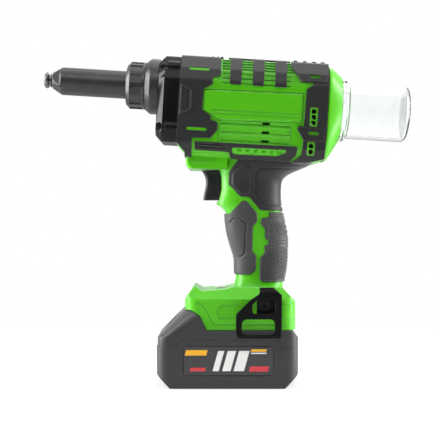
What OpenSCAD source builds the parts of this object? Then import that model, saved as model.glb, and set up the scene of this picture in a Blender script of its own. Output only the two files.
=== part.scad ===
// Cordless rivet tool: pistol housing, screw-drive puller, clear mandrel cup and slide-on battery.
// Millimetres, +Z up, nose towards -X, origin in the middle of the battery's base face.

/* [Overall] */
// Height of the nose axis over the middle of the battery base
nose_height = 255.6; // [240:0.2:270]
// Angle by which the barrel points up against the level base, in degrees
barrel_tilt = 3.5; // [0:0.5:6]
// Drop of the motor axis below the nose axis
motor_drop = 31; // [30.9:0.1:31.1]
// Drop of the cup axis below the nose axis
cup_drop = 10.6; // [8:0.2:12]

/* [Body shell] */
// Length of the shell along the barrel
body_length = 126.6; // [120:0.2:134]
// Distance of the shell's front joint ahead of the base middle
body_lead = 40.6; // [38:0.2:43]
// Half width over the flat flanks
body_half = 33; // [31:0.2:35]
// Height of the crown above the nose axis
crown_rise = 25.5; // [24:0.1:27]
// Half width of the flat crown
crown_half = 17; // [14:0.2:19]
// Half width at the shoulder edge
shoulder_half = 28.5; // [26:0.2:30]
// Height of the shoulder edge above the nose axis
shoulder_rise = 13.5; // [11:0.2:16]
// Height of the flank's upper edge above the nose axis
flank_rise = 4.5; // [3:0.1:6]
// Drop of the flank's lower edge below the nose axis
flank_drop = 49; // [47:0.2:52]
// Drop of the belly below the nose axis
belly_drop = 60; // [58:0.2:63]
// Half width of the belly
belly_half = 27; // [25:0.2:30]
// Corner radius of the shell's cross section
body_round = 5; // [2:0.1:7]
// Wall of the shell between its ribs
shell_wall = 2.8; // [2.2:0.1:3.4]
// Setback of the shell's lower front corner
chin_setback = 7.6; // [5:0.1:10]
// Drop of the upper end of that slanted corner
slant_drop = 50; // [48:0.2:53]
// Length of the belly's rise at the rear
heel_length = 24; // [18:0.2:30]
// Height of that rise above the belly
heel_rise = 3.4; // [2:0.1:5]
// Half width of the chin over the trigger
chin_half = 23; // [20:0.2:26]
// Height by which the label panel stands proud
panel_proud = 1; // [0.6:0.1:1.6]
// Height by which the green inlays stand proud
inlay_proud = 1; // [0.5:0.1:1.4]
// Thickness of the rubber overmould
rubber = 1.5; // [1:0.1:2]
// Extra thickness of the raised rubber lugs
lug_rise = 0.9; // [0.4:0.1:1.2]
// Height of the raised inlay bars in the overmould
inlay_height = 2.6; // [2:0.1:3.5]
// Length of the inlay bars in the front overmould
inlay_length = 17; // [14:0.2:20]
// Length of the inlay bars in the rear overmould
rear_inlay_length = 9; // [7:0.2:11]

/* [Vents and guard] */
// Length of the louvre band
louvre_length = 60; // [54:0.5:64]
// Pitch of the louvre grooves
louvre_pitch = 3.75; // [3.4:0.05:4]
// Height of one louvre groove
louvre_groove = 1.7; // [1.2:0.1:2.2]
// Depth of the louvre grooves
louvre_depth = 1.3; // [0.8:0.1:2]
// Length of the three air slots
air_slot_length = 6.6; // [5:0.1:9]
// Height of the air slots
air_slot_height = 2.2; // [1.8:0.1:2.8]
// Depth to which the air slots reach in from the flank
air_slot_depth = 17; // [14:0.2:18]
// Side of the square outlet holes at the fan
outlet_side = 3.9; // [3:0.1:4.4]
// Pitch of the outlet holes
outlet_pitch = 4.9; // [4.6:0.1:5.4]
// Rim width around the outlet holes
outlet_rim = 1.3; // [0.9:0.1:1.6]
// Half width of the top guard's rail
rail_half = 13; // [10:0.2:15]
// Width of the guard's straps along the barrel
strap_width = 9.8; // [8:0.1:11]
// Radius of the scallops between the straps
scallop_radius = 1.3; // [0.8:0.1:1.6]

/* [Handle and foot] */
// Length of the foot, front lip to heel
foot_length = 94.2; // [90:0.2:98]
// Height of the foot's lower face above the battery base
foot_bottom = 49.2; // [49:0.1:52]
// Half width of the handle's widest level
handle_half = 26; // [24:0.2:28]
// Half width of the foot
foot_half = 36; // [34:0.2:37]
// Rise of the foot's flat sides
foot_side_rise = 26; // [22:0.2:29]
// Half width of the foot's top platform
foot_top_half = 25; // [22:0.2:28]
// Rise of the foot's top platform edge
foot_top_rise = 37; // [34:0.2:40]
// Corner radius of the foot in plan
foot_round = 11; // [6:0.2:14]
// Half width of the neck slot for the battery's rail
rail_neck_half = 22; // [20:0.2:23]
// Half width of the rail's head
rail_head_half = 26; // [24.5:0.2:27]
// Thickness of the lips under the rail
rail_lip = 2.6; // [2:0.1:3.2]
// Height of the rail's head
rail_head_height = 7.9; // [7:0.1:9]
// Pitch of the contact blades
blade_pitch = 8; // [7:0.1:9]
// Length of the button on the foot
button_length = 9; // [7:0.1:11]
// Width of the button
button_width = 12; // [9:0.1:15]
// Height of the button with its travel
button_height = 4; // [3.4:0.1:4.6]
// Rear end of the rail slot behind the base middle
slot_end = 54; // [52:0.2:55]

/* [Nose] */
// Radius of the nose sleeve
sleeve_radius = 12.1; // [11:0.1:13]
// Bore radius of the nose sleeve
sleeve_bore = 10; // [9.9:0.1:10.4]
// Distance of the nose tip ahead of the base middle
tip_lead = 160.7; // [158:0.1:164]
// Length of the nosepiece's head
tip_head_length = 4.2; // [3:0.1:6]
// Radius of the nosepiece's head
tip_radius = 7; // [6.4:0.1:8]
// Radius of the nosepiece's neck
tip_neck_radius = 6; // [5.2:0.1:6.3]
// Bore radius of the nosepiece, for the rivet's mandrel
tip_bore = 1.7; // [1.2:0.1:2.2]
// Length of the nosepiece
tip_length = 20; // [18:0.2:21]
// Length of the sleeve's front cone
cone_length = 8.4; // [7:0.1:10]
// Width across the sleeve's wrench flats
wrench_width = 19; // [18:0.1:21]
// Distance of the sleeve's front end ahead of the base middle
sleeve_lead = 153.2; // [152:0.1:155]
// Radius of the collar nut
collar_radius = 20.5; // [19:0.1:22]
// Length of the collar nut
collar_length = 16; // [14:0.1:17]
// Distance of the collar's front ahead of the base middle
collar_lead = 88; // [87:0.1:90]
// Length of the collar's front chamfer
collar_chamfer = 3.4; // [2:0.1:4.5]
// Radius of the finger flutes in the collar
flute_radius = 2.5; // [1.8:0.1:3]
// Number of finger flutes
flute_count = 12; // [8:1:18]
// Radius of the nose adapter's step ring
adapter_radius = 24.2; // [23:0.1:25]
// Length of the step ring
adapter_length = 7.4; // [6:0.1:9]
// Length of the adapter's flare
flare_length = 4.6; // [3:0.1:5]

/* [Gear case] */
// Length of the gear case along the barrel
case_length = 18.8; // [17:0.1:20]
// Length of its front bevel
case_bevel = 5.6; // [4:0.1:7]
// Inset of the gear case's sides from the body's
case_inset = 3; // [2:0.1:4.5]
// Drop of the gear case's lower face below the nose axis
case_drop = 49.5; // [48:0.1:51]
// Half width of the case's lower face
case_base_half = 21; // [18:0.2:24]
// Wall at the front of the gear case
case_wall = 2.8; // [2.2:0.1:3.4]
// Radius of the screw ears
ear_radius = 5.2; // [4.6:0.1:5.6]
// Length of the screw ears
ear_length = 11; // [9:0.1:12]
// Head radius of the case screws
case_screw_head = 3; // [2.6:0.1:3.6]
// Thread radius of the screws
screw_radius = 1.5; // [1.3:0.05:1.7]
// Length of the case screws under the head
case_screw_length = 21; // [18:0.2:24]

/* [Gears] */
// Pitch diameter per tooth of the drive gear pair
drive_tooth = 1; // [0.98:0.01:1.02]
// Face width of the drive gear pair
drive_face = 8; // [6:0.1:9]
// Pitch diameter per tooth of the planetary stage
planet_tooth = 0.7; // [0.68:0.01:0.72]
// Face width of the planetary stage
planet_face = 9; // [7:0.1:10]
// Backlash on the pitch circle
backlash = 0.16; // [0.1:0.01:0.24]
// Outer radius of the ring gear
ring_radius = 17.6; // [17:0.1:18.4]

/* [Screw drive] */
// Outer radius of the screw nut
nut_radius = 12; // [11:0.1:12.6]
// Length of the screw nut
nut_length = 38; // [34:0.2:42]
// Radius of the hollow spindle
spindle_radius = 7; // [6.6:0.1:7.2]
// Bore radius of the spindle
spindle_bore = 2.8; // [2.4:0.1:3.2]
// Outer radius of the nut's bearings
nut_bearing_radius = 17; // [16:0.1:17.4]
// Width of the nut's bearings
nut_bearing_width = 6; // [5:0.1:7]
// Stroke of the spindle
stroke = 20; // [16:0.2:22]
// Bore radius of the guide tube behind the spindle
tube_bore = 7.4; // [7.3:0.05:7.8]
// Wall of the guide tube
tube_wall = 1.1; // [0.8:0.1:1.4]

/* [Gripping head] */
// Outer radius of the jaw case
jaw_case_radius = 9.6; // [9.2:0.1:9.6]
// Length of the jaw case
jaw_case_length = 35; // [32:0.2:36]
// Mouth radius of the jaw case's cone
jaw_mouth = 4.4; // [4:0.1:4.8]
// Rear radius of the jaw case's cone
jaw_cone_radius = 7.4; // [7:0.1:7.8]
// Length of the cone
jaw_cone_length = 17; // [15:0.2:18]
// Gap between neighbouring jaws
jaw_split = 0.8; // [0.7:0.1:1.2]
// Thickness of the jaw pusher
pusher_length = 5; // [4:0.1:6]

/* [Motor] */
// Radius of the stator
stator_radius = 19; // [18:0.1:19.4]
// Bore radius of the stator
stator_bore = 10.6; // [10:0.1:11]
// Radius of the rotor
rotor_radius = 10.1; // [9.6:0.1:10.2]
// Radius of the motor shaft
shaft_radius = 2.5; // [2:0.1:2.8]
// Radius of the fan
fan_radius = 18; // [17:0.1:18.4]
// Length of the fan
fan_length = 8; // [6:0.1:9]
// Number of fan blades
fan_blades = 9; // [7:1:13]
// Outer radius of the motor's bearings
motor_bearing_radius = 8; // [7:0.1:9]
// Width of the motor's bearings
motor_bearing_width = 5; // [4:0.1:6]

/* [Trigger group] */
// Half width of the trigger
trigger_half = 9; // [8:0.1:10]
// Travel of the trigger
trigger_travel = 6; // [5:0.1:7]
// Height of the switch
switch_height = 23; // [21:0.2:25]
// Level of the switch's lower face above the foot
switch_level = 111; // [110:0.2:112]
// Mean radius of the trigger spring
spring_radius = 3.2; // [2.8:0.1:3.6]
// Wire radius of the springs
wire_radius = 0.45; // [0.35:0.05:0.6]
// Curls in each spring
spring_turns = 4; // [3:1:6]

/* [Cup] */
// Radius of the mandrel cup
cup_radius = 24.75; // [23.5:0.05:26]
// Wall of the cup
cup_wall = 2.4; // [1.6:0.1:3]
// Length of the cup behind its flange
cup_length = 55; // [48:0.2:60]
// Radius of the cup's flange
cup_flange_radius = 27.4; // [26.5:0.1:28]
// Thickness of the cup's flange
cup_flange = 3.9; // [3:0.1:5]
// Radius of the spigot that enters the cap
spigot_radius = 21.5; // [20.5:0.1:22]
// Length of the spigot
spigot_length = 6.4; // [5:0.1:7]
// Length of the rear cap
cap_length = 13.3; // [12:0.1:15]

/* [Battery] */
// Length of the pack
pack_length = 120.4; // [116:0.2:124]
// Half width of the pack
pack_half = 38; // [37:0.2:39]
// Height of the pack's top face
pack_height = 48.8; // [48.4:0.1:48.9]
// Corner radius of the pack in plan
pack_round = 10; // [6:0.2:12]
// Size of the lower corner chamfers
pack_chamfer = 11.6; // [9:0.1:12]
// Radius of a cell
cell_radius = 9.1; // [9:0.05:9.2]
// Length of a cell
cell_length = 65; // [64:0.1:65.4]
// Pitch of the cells along the pack
cell_pitch = 19; // [18.8:0.1:19.2]
// Pitch of the two layers
layer_pitch = 18.6; // [18.5:0.05:18.8]
// Height of the lower layer's axis
cell_level = 12.6; // [12.4:0.1:12.8]
// Length of the pack's ends beyond the space for the cells
bay_end = 11.8; // [11.4:0.1:12]
// Half width of the space for the cells
bay_half_width = 34; // [33.6:0.1:34.4]
// Wall under the cells
pack_floor = 3; // [2.8:0.1:3.2]
// Depth of the label recess in the pack's sides
label_depth = 0.8; // [0.4:0.1:1.2]
// Width of the latch button
latch_width = 26; // [22:0.2:30]
// Length of the latch button up the slope
latch_length = 17; // [14:0.2:19]
// Thickness of the latch button
latch_thick = 5; // [4:0.1:6]
// Height by which the latch button stands proud
latch_proud = 1.5; // [1:0.1:2]
// Travel of the latch button
latch_travel = 3; // [2:0.1:3.2]

/* [Belt hook] */
// Thickness of the hook's sheet
sheet = 2; // [1.5:0.1:2.2]
// Gap between the hook's two legs
hook_gap = 7; // [6.4:0.1:9]
// Flare of the hook's lower lip
hook_flare = 3; // [2:0.1:4]
// Radius of the hook screw's head
hook_screw_head = 4.4; // [3.8:0.1:5]
// Radius of the hook screw's thread
hook_screw_radius = 2; // [1.8:0.05:2.2]
// Depth of the hook screw's hole
hook_hole_depth = 9; // [7:0.2:10]

/* [Fits] */
// Running fit on a radius
fit = 0.05; // [0.03:0.01:0.08]
// Clearance between pieces that move apart
gap = 0.35; // [0.3:0.05:0.5]
// Gap at moulded seams
seam = 0.4; // [0.3:0.05:0.6]
// Overrun of a cut past a face
over = 2; // [1:0.5:4]

/* [Hidden] */
$fn = 48;

shell_green = [0.36, 0.72, 0.08];
rubber_dark = [0.2, 0.2, 0.21];
black_metal = [0.06, 0.06, 0.065];
steel = [0.6, 0.61, 0.63];
clear_tint = [0.9, 0.95, 0.97, 0.35];
copper = [0.72, 0.42, 0.2];
board_green = [0.05, 0.3, 0.16];
pack_dark = [0.17, 0.17, 0.175];

// Gear teeth
drive_teeth = 20;
nut_teeth = 42;
sun_teeth = 12;
planet_teeth = 15;
ring_teeth = 42;
pressure_angle = 20;
add_share = 0.78;
root_share = 1.05;
flank_shares = [0, 0.45, 0.75, 1];
planet_orbit = planet_tooth * (sun_teeth + planet_teeth) / 2;

// Stations along the barrel, rearward from the base middle
body_front = -body_lead;
body_rear = body_front + body_length;
body_height = crown_rise + belly_drop;
lead_share = 0.3207;
function along(s) = body_front + (s + lead_share) * body_length;
case_front = body_front - case_length;
gear_front = case_front + case_wall + 4 * gap;
gear_rear = gear_front + drive_face;
nut_front = gear_front;
nut_rear = nut_front + nut_length;
stage_rear_share = 0.02;
stage_rear = along(stage_rear_share);
ring_front = stage_rear - planet_face - 2 * seam - planet_tooth;
plate_thick = drive_face / 2;
plate_front = ring_front - plate_thick;
stator_front_share = 0.16;
stator_front = along(stator_front_share);
stator_length_share = 0.2844;
stator_length = stator_length_share * body_length;
fan_front = stator_front + stator_length + motor_bearing_width + 2 * over;
shaft_rear = fan_front + fan_length + motor_bearing_width + over;
chamber_radius = stator_radius + gap;
nut_chamber = nut_bearing_radius + fit;
spindle_rear_share = 0.25;
spindle_rear = along(spindle_rear_share);
tube_front_share = 0.15;
tube_front = along(tube_front_share);
cap_rear = body_rear + cap_length;
tube_rear = cap_rear - spigot_length - over;
grip_rise = nose_height - foot_bottom;
switch_front_share = 0.1316;
switch_front = switch_front_share * foot_length;
switch_length_share = 0.2335;
switch_length = switch_length_share * foot_length;

// Side outlines in the barrel's frame, as shares of the shell's length and height
front_pad_shares = [
  [-0.332, 0.374], [-0.054, 0.374], [-0.049, 0.105], [-0.100, 0.082], [-0.100, 0.009],
  [-0.158, -0.044], [-0.160, -0.248], [-0.101, -0.302], [-0.096, -0.346], [-0.066, -0.353],
  [-0.051, -0.372], [-0.051, -0.441], [-0.092, -0.524], [-0.215, -0.530], [-0.214, -0.749],
  [-0.332, -0.749]];
front_relief_shares = [[-0.310, -0.304], [-0.237, -0.250], [-0.238, -0.057], [-0.310, -0.004]];
label_panel_shares = [
  [-0.155, -0.051], [-0.115, -0.043], [0.513, -0.030], [0.512, -0.316], [-0.022, -0.335],
  [-0.077, -0.316], [-0.155, -0.248]];
rear_pad_shares = [
  [0.425, 0.374], [0.425, 0.236], [0.480, 0.122], [0.488, 0.092], [0.572, 0.085], [0.576, 0.061],
  [0.531, 0.018], [0.526, -0.350], [0.487, -0.353], [0.481, -0.382], [0.525, -0.478],
  [0.527, -0.527], [0.521, -0.636], [0.455, -0.722], [0.455, -0.772], [0.690, -0.772],
  [0.690, 0.374]];
upper_lug_shares = [
  [0.450, 0.206], [0.488, 0.101], [0.667, 0.101], [0.667, 0.222], [0.450, 0.222]];
lower_lug_shares = [
  [0.487, -0.363], [0.667, -0.363], [0.667, -0.496], [0.532, -0.496], [0.487, -0.386]];
strip_shares = [
  [-0.197, -0.564], [0.054, -0.560], [0.488, -0.556], [0.492, -0.580], [0.485, -0.650],
  [0.447, -0.703], [0.060, -0.713], [0.046, -0.699], [0.036, -0.648], [-0.194, -0.647]];
strip_window_shares = [
  [0.062, -0.602], [0.416, -0.596], [0.420, -0.621], [0.359, -0.662], [0.071, -0.668],
  [0.051, -0.636]];
front_inlay_shares = [[-0.261, 0.147], [-0.256, -0.456]];
rear_inlay_shares = [[0.552, 0.135], [0.559, -0.433]];
outlet_shares = [[0.588, -0.255], [0.582, -0.570]];
outlet_counts = [3, 2];
louvre_shares = [-0.028, -0.360];
louvre_count = 5;
air_slot_shares = [0.247, -0.435];
air_slot_rows = [-2, 0, 2];
strap_shares = [0.014, 0.020];
rail_shares = [-0.001, 0.419];
strap_pitch_share = 0.1517;
strap_pitch = strap_pitch_share * body_length;
strap_count = 3;
scallop_shares = [-0.040, 0.445];
scallop_rows = [0.16, 0.38, 0.6, 0.82];
bay_shares = [-0.205, 0.010, 0.225, 0.440];
bay_length_share = 0.190;

// Side outlines in the base frame, as shares of the foot's length and the grip's rise
upper_grip_shares = [
  [0.116, 0.716], [0.011, 0.651], [0.006, 0.601], [0.116, 0.549], [0.197, 0.549], [0.308, 0.491],
  [0.743, 0.488], [1.062, 0.755], [0.637, 0.755], [0.127, 0.755]];
octagon_shares = [
  [0.134, 0.685], [0.042, 0.644], [0.038, 0.598], [0.127, 0.556], [0.189, 0.556], [0.219, 0.576],
  [0.219, 0.665], [0.180, 0.685]];
front_grip_shares = [
  [0.130, 0.528], [0.175, 0.531], [0.272, 0.480], [0.276, 0.447], [0.230, 0.422], [0.226, 0.322],
  [0.262, 0.301], [0.258, 0.242], [0.212, 0.223], [-0.127, 0.226], [-0.127, 0.479], [0.024, 0.479]];
rear_grip_shares = [
  [0.391, 0.484], [0.391, 0.462], [0.317, 0.459], [0.308, 0.435], [0.349, 0.413], [0.349, 0.372],
  [0.381, 0.368], [0.381, 0.347], [0.345, 0.343], [0.345, 0.313], [0.299, 0.292], [0.294, 0.204],
  [0.322, 0.192], [0.701, 0.190], [0.701, 0.484]];
foot_shares = [
  [-0.384, 0.084], [-0.318, 0.081], [-0.246, 0.058], [-0.184, 0.000], [0.616, 0.000],
  [0.616, 0.114], [0.503, 0.169], [0.054, 0.173], [-0.011, 0.165], [-0.226, 0.157],
  [-0.300, 0.178], [-0.384, 0.123]];
chin_shares = [
  [-0.380, 0.682], [-0.350, 0.666], [-0.085, 0.663], [0.000, 0.663], [0.000, 0.760],
  [-0.350, 0.760], [-0.380, 0.745]];
trigger_shares = [
  [-0.224, 0.535], [0.048, 0.535], [0.048, 0.660], [-0.238, 0.660], [-0.219, 0.646],
  [-0.201, 0.628], [-0.201, 0.599], [-0.214, 0.565]];
trigger_slot_shares = [
  [-0.127, 0.530], [0.127, 0.530], [0.127, 0.672], [-0.127, 0.672]];

// Handle levels: height, front, rear and half width of each ring
level_shares = [0.140, 0.165, 0.182, 0.204, 0.236, 0.290, 0.343, 0.396, 0.450, 0.484, 0.503, 0.517, 0.537,
  0.580, 0.622, 0.639, 0.656, 0.669, 0.682, 0.701, 0.726];
front_shares = [0.040, 0.050, 0.066, 0.081, 0.077, 0.076, 0.038, 0.006, -0.011, -0.013, -0.049, -0.100, -0.094,
  -0.071, -0.071, -0.076, -0.085, -0.096, -0.106, -0.106, -0.106];
rear_shares = [0.530, 0.518, 0.516, 0.524, 0.540, 0.552, 0.553, 0.550, 0.523, 0.504, 0.497, 0.490, 0.484,
  0.484, 0.492, 0.531, 0.605, 0.680, 0.760, 0.810, 0.810];
width_shares = [0.860, 0.770, 0.700, 0.660, 0.638, 0.638, 0.654, 0.677, 0.692, 0.700, 0.708, 0.715, 0.723,
  0.738, 0.769, 0.808, 0.846, 0.885, 0.923, 0.962, 1.000];
ring_points = 28;
handle_power = 2.6;

// Corner helpers: growing an outline by a mitred offset, and rounding its corners with arcs
function unit(v) = v / norm(v);
function outward(e) = [e[1], -e[0]];
function grown(p, d) = [for (i = [0:len(p) - 1])
  let (a = outward(unit(p[i] - p[(i + len(p) - 1) % len(p)])),
       b = outward(unit(p[(i + 1) % len(p)] - p[i])))
  p[i] + (a + b) * d / (1 + a * b)];
function corner(a, p, b, r, n) =
  let (u = unit(a - p), v = unit(b - p), h = acos(u * v) / 2, t = r / tan(h),
       c = p + unit(u + v) * r / sin(h), s = p + u * t - c, e = p + v * t - c,
       turn = 180 - 2 * h, way = s[0] * e[1] - s[1] * e[0] > 0 ? 1 : -1)
  [for (k = [0:n]) let (q = way * turn * k / n)
    c + [s[0] * cos(q) - s[1] * sin(q), s[0] * sin(q) + s[1] * cos(q)]];
function rounded(p, r, n) = [for (i = [0:len(p) - 1])
  each corner(p[(i + len(p) - 1) % len(p)], p[i], p[(i + 1) % len(p)], r, n)];
function both_sides(p) = concat(p, [for (i = [len(p) - 1:-1:0]) [-p[i][0], p[i][1]]]);
function on_body(s) = [for (q = s) [along(q[0]), q[1] * body_height]];
function on_grip(s) = [for (q = s) [q[0] * foot_length, foot_bottom + q[1] * grip_rise]];
function signed_power(v, e) = sign(v) * pow(abs(v), e);

// Frames and simple carriers
module barrel() {
  translate([0, 0, nose_height])
    rotate([0, barrel_tilt, 0])
      children();
}

module bar(from, to, r, r_end, drop = 0) {
  translate([from, 0, -drop])
    rotate([0, 90, 0])
      cylinder(h = to - from, r1 = r, r2 = is_undef(r_end) ? r : r_end);
}

module section_run(from, to) {
  translate([from, 0, 0])
    rotate([90, 0, 90])
      linear_extrude(to - from)
        children();
}

module side_prism(low, high) {
  translate([0, high, 0])
    rotate([90, 0, 0])
      linear_extrude(high - low)
        children();
}

module block(x0, x1, half, z0, z1) {
  translate([x0, -half, z0])
    cube([x1 - x0, 2 * half, z1 - z0]);
}

module half_space(side) {
  reach = 2 * nose_height;
  translate([-reach, side > 0 ? 0 : -reach, -reach])
    cube([2 * reach, reach, 2 * reach]);
}

module loft(rings) {
  n = len(rings[0]);
  m = len(rings);
  points = [for (r = rings) each r];
  sides = [for (i = [0:m - 2]) for (k = [0:n - 1]) each [
    [i * n + k, (i + 1) * n + k, (i + 1) * n + (k + 1) % n],
    [i * n + k, (i + 1) * n + (k + 1) % n, i * n + (k + 1) % n]]];
  low = [[for (k = [0:n - 1]) k]];
  high = [[for (k = [n - 1:-1:0]) (m - 1) * n + k]];
  polyhedron(points = points, faces = concat(sides, low, high), convexity = 6);
}

// One unbroken wire wound round the z axis
module coil(mean, wire, height, turns) {
  steps = 8 * turns;
  rise = height - 2 * wire;
  loft([for (i = [0:steps])
    let (a = 360 * turns * i / steps, z = wire + rise * i / steps)
    [for (k = [0:5]) let (q = -60 * k)
      [(mean + wire * cos(q)) * cos(a), (mean + wire * cos(q)) * sin(a), z + wire * sin(q)]]]);
}

// Body shell
body_section = both_sides([[belly_half, -belly_drop], [body_half, -flank_drop],
  [body_half, flank_rise], [shoulder_half, shoulder_rise], [crown_half, crown_rise]]);
body_trim = [[body_front, -slant_drop], [body_front + chin_setback, -slant_drop - chin_setback],
  [body_front + chin_setback, -body_height], [body_rear - heel_length, -body_height],
  [body_rear - heel_length, -belly_drop - heel_rise], [body_rear, -belly_drop + heel_rise],
  [body_rear, body_height], [body_front, body_height]];

module body_core(grow) {
  intersection() {
    section_run(body_front, body_rear)
      polygon(rounded(grown(body_section, grow), body_round + grow, 3));
    side_prism(-2 * body_half, 2 * body_half)
      polygon(body_trim);
  }
}

// A layer on the shell's flanks inside a side outline, from one height to another
module flank_layer(low, high, inner = seam / 2) {
  difference() {
    intersection() {
      body_core(high);
      two_sides(inner)
        children();
    }
    body_core(low);
  }
}

// A side outline drawn through the left and the right half, parted at the seam
module two_sides(inner = seam / 2) {
  side_prism(-2 * body_half, -inner)
    children();
  side_prism(inner, 2 * body_half)
    children();
}

module bar_window(share, length, grow = 0) {
  translate([along(share[0]) - grow, share[1] * body_height - grow])
    square([length + 2 * grow, inlay_height + 2 * grow]);
}

module outlet_rim_outline(i, grow = 0) {
  tall = outlet_counts[i] * outlet_pitch + 2 * outlet_rim - (outlet_pitch - outlet_side);
  translate([along(outlet_shares[i][0]), outlet_shares[i][1] * body_height])
    square([outlet_side + 2 * outlet_rim + 2 * grow, tall + 2 * grow], center = true);
}

module inlay_windows(grow) {
  for (s = front_inlay_shares)
    bar_window(s, inlay_length, grow);
  for (s = rear_inlay_shares)
    bar_window(s, rear_inlay_length, grow);
  for (i = [0, 1])
    outlet_rim_outline(i, grow);
  polygon(grown(on_body(strip_window_shares), -grow));
}

// Handle and foot
function handle_ring(i, d) =
  let (f = front_shares[i] * foot_length - d, r = rear_shares[i] * foot_length + d,
       b = width_shares[i] * handle_half + d, z = foot_bottom + level_shares[i] * grip_rise)
  [for (k = [0:ring_points - 1]) let (t = 360 * k / ring_points)
    [(f + r) / 2 + (r - f) / 2 * signed_power(cos(t), 2 / handle_power),
     b * signed_power(sin(t), 2 / handle_power), z]];

module handle(d) {
  loft([for (i = [0:len(level_shares) - 1]) handle_ring(i, d)]);
}

module grip_layer(low, high) {
  difference() {
    intersection() {
      handle(high);
      two_sides()
        children();
    }
    handle(low);
  }
}

module foot() {
  foot_front = foot_shares[0][0] * foot_length;
  top = foot_bottom + grip_rise / 2;
  intersection() {
    side_prism(-foot_half, foot_half)
      polygon(on_grip(foot_shares));
    section_run(foot_front - over, foot_front + foot_length + over)
      polygon(both_sides([[foot_half, 0], [foot_half, foot_bottom + foot_side_rise],
        [foot_top_half, foot_bottom + foot_top_rise], [foot_top_half, top]]));
    linear_extrude(nose_height)
      polygon(rounded([[foot_front, -foot_half], [foot_front + foot_length, -foot_half],
        [foot_front + foot_length, foot_half], [foot_front, foot_half]], foot_round, 5));
  }
}

module chin() {
  side_prism(-chin_half, chin_half)
    polygon(on_grip(chin_shares));
}

module housing_solid() {
  barrel() {
    body_core(0);
    flank_layer(-over, panel_proud)
      polygon(on_body(label_panel_shares));
    flank_layer(-over, inlay_proud)
      inlay_windows(0);
  }
  chin();
  handle(0);
  foot();
}

// Screw places in the barrel frame and in the base frame: station, height and head depth as shares
body_screw_shares = [[-0.237, 0.245, 0.40], [0.600, 0.225, 0.44], [-0.200, -0.643, 0.66],
  [0.600, -0.640, 0.66]];
grip_screw_shares = [[0.470, 0.250, 0.34], [-0.250, 0.140, 0.60], [0.200, 0.512, 0.36]];

module at_screws() {
  barrel()
    for (s = body_screw_shares)
      translate([along(s[0]), 0, s[1] * body_height])
        screw_shape_at(s[2] * body_half) children();
  for (s = grip_screw_shares)
    translate([s[0] * foot_length, 0, foot_bottom + s[1] * grip_rise])
      screw_shape_at(s[2] * body_half) children();
}

module screw_shape_at(reach) {
  $reach = reach;
  children();
}

module screw_hole() {
  translate([0, -$reach / 2 - fit, 0])
    rotate([-90, 0, 0])
      cylinder(h = 2 * $reach, r = screw_radius + fit);
  translate([0, $reach - screw_radius - fit, 0])
    rotate([-90, 0, 0])
      cylinder(h = 2 * body_half, r = 2 * screw_radius + seam);
}

module housing_screw() {
  translate([0, -$reach / 2, 0])
    rotate([-90, 0, 0])
      cylinder(h = $reach / 2 + $reach, r = screw_radius);
  translate([0, $reach - screw_radius, 0])
    rotate([-90, 0, 0])
      difference() {
        cylinder(h = screw_radius + screw_radius / 2, r = 2 * screw_radius);
        translate([0, 0, screw_radius])
          cylinder(h = over, r = screw_radius, $fn = 6);
      }
}

// Hollow bays between the shell's ribs, clear of the seats
module rib_bays() {
  difference() {
    intersection() {
      body_core(-shell_wall);
      for (s = bay_shares)
        translate([along(s), -body_half, -flank_drop])
          cube([bay_length_share * body_length, 2 * body_half,
            flank_drop + crown_rise - 4 * shell_wall]);
    }
    bar(body_front, nut_rear + shell_wall, nut_chamber + shell_wall);
    bar(body_front, body_rear, tube_bore + 2 * tube_wall);
    bar(body_front, body_rear, chamber_radius + shell_wall, drop = motor_drop);
  }
}

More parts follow.
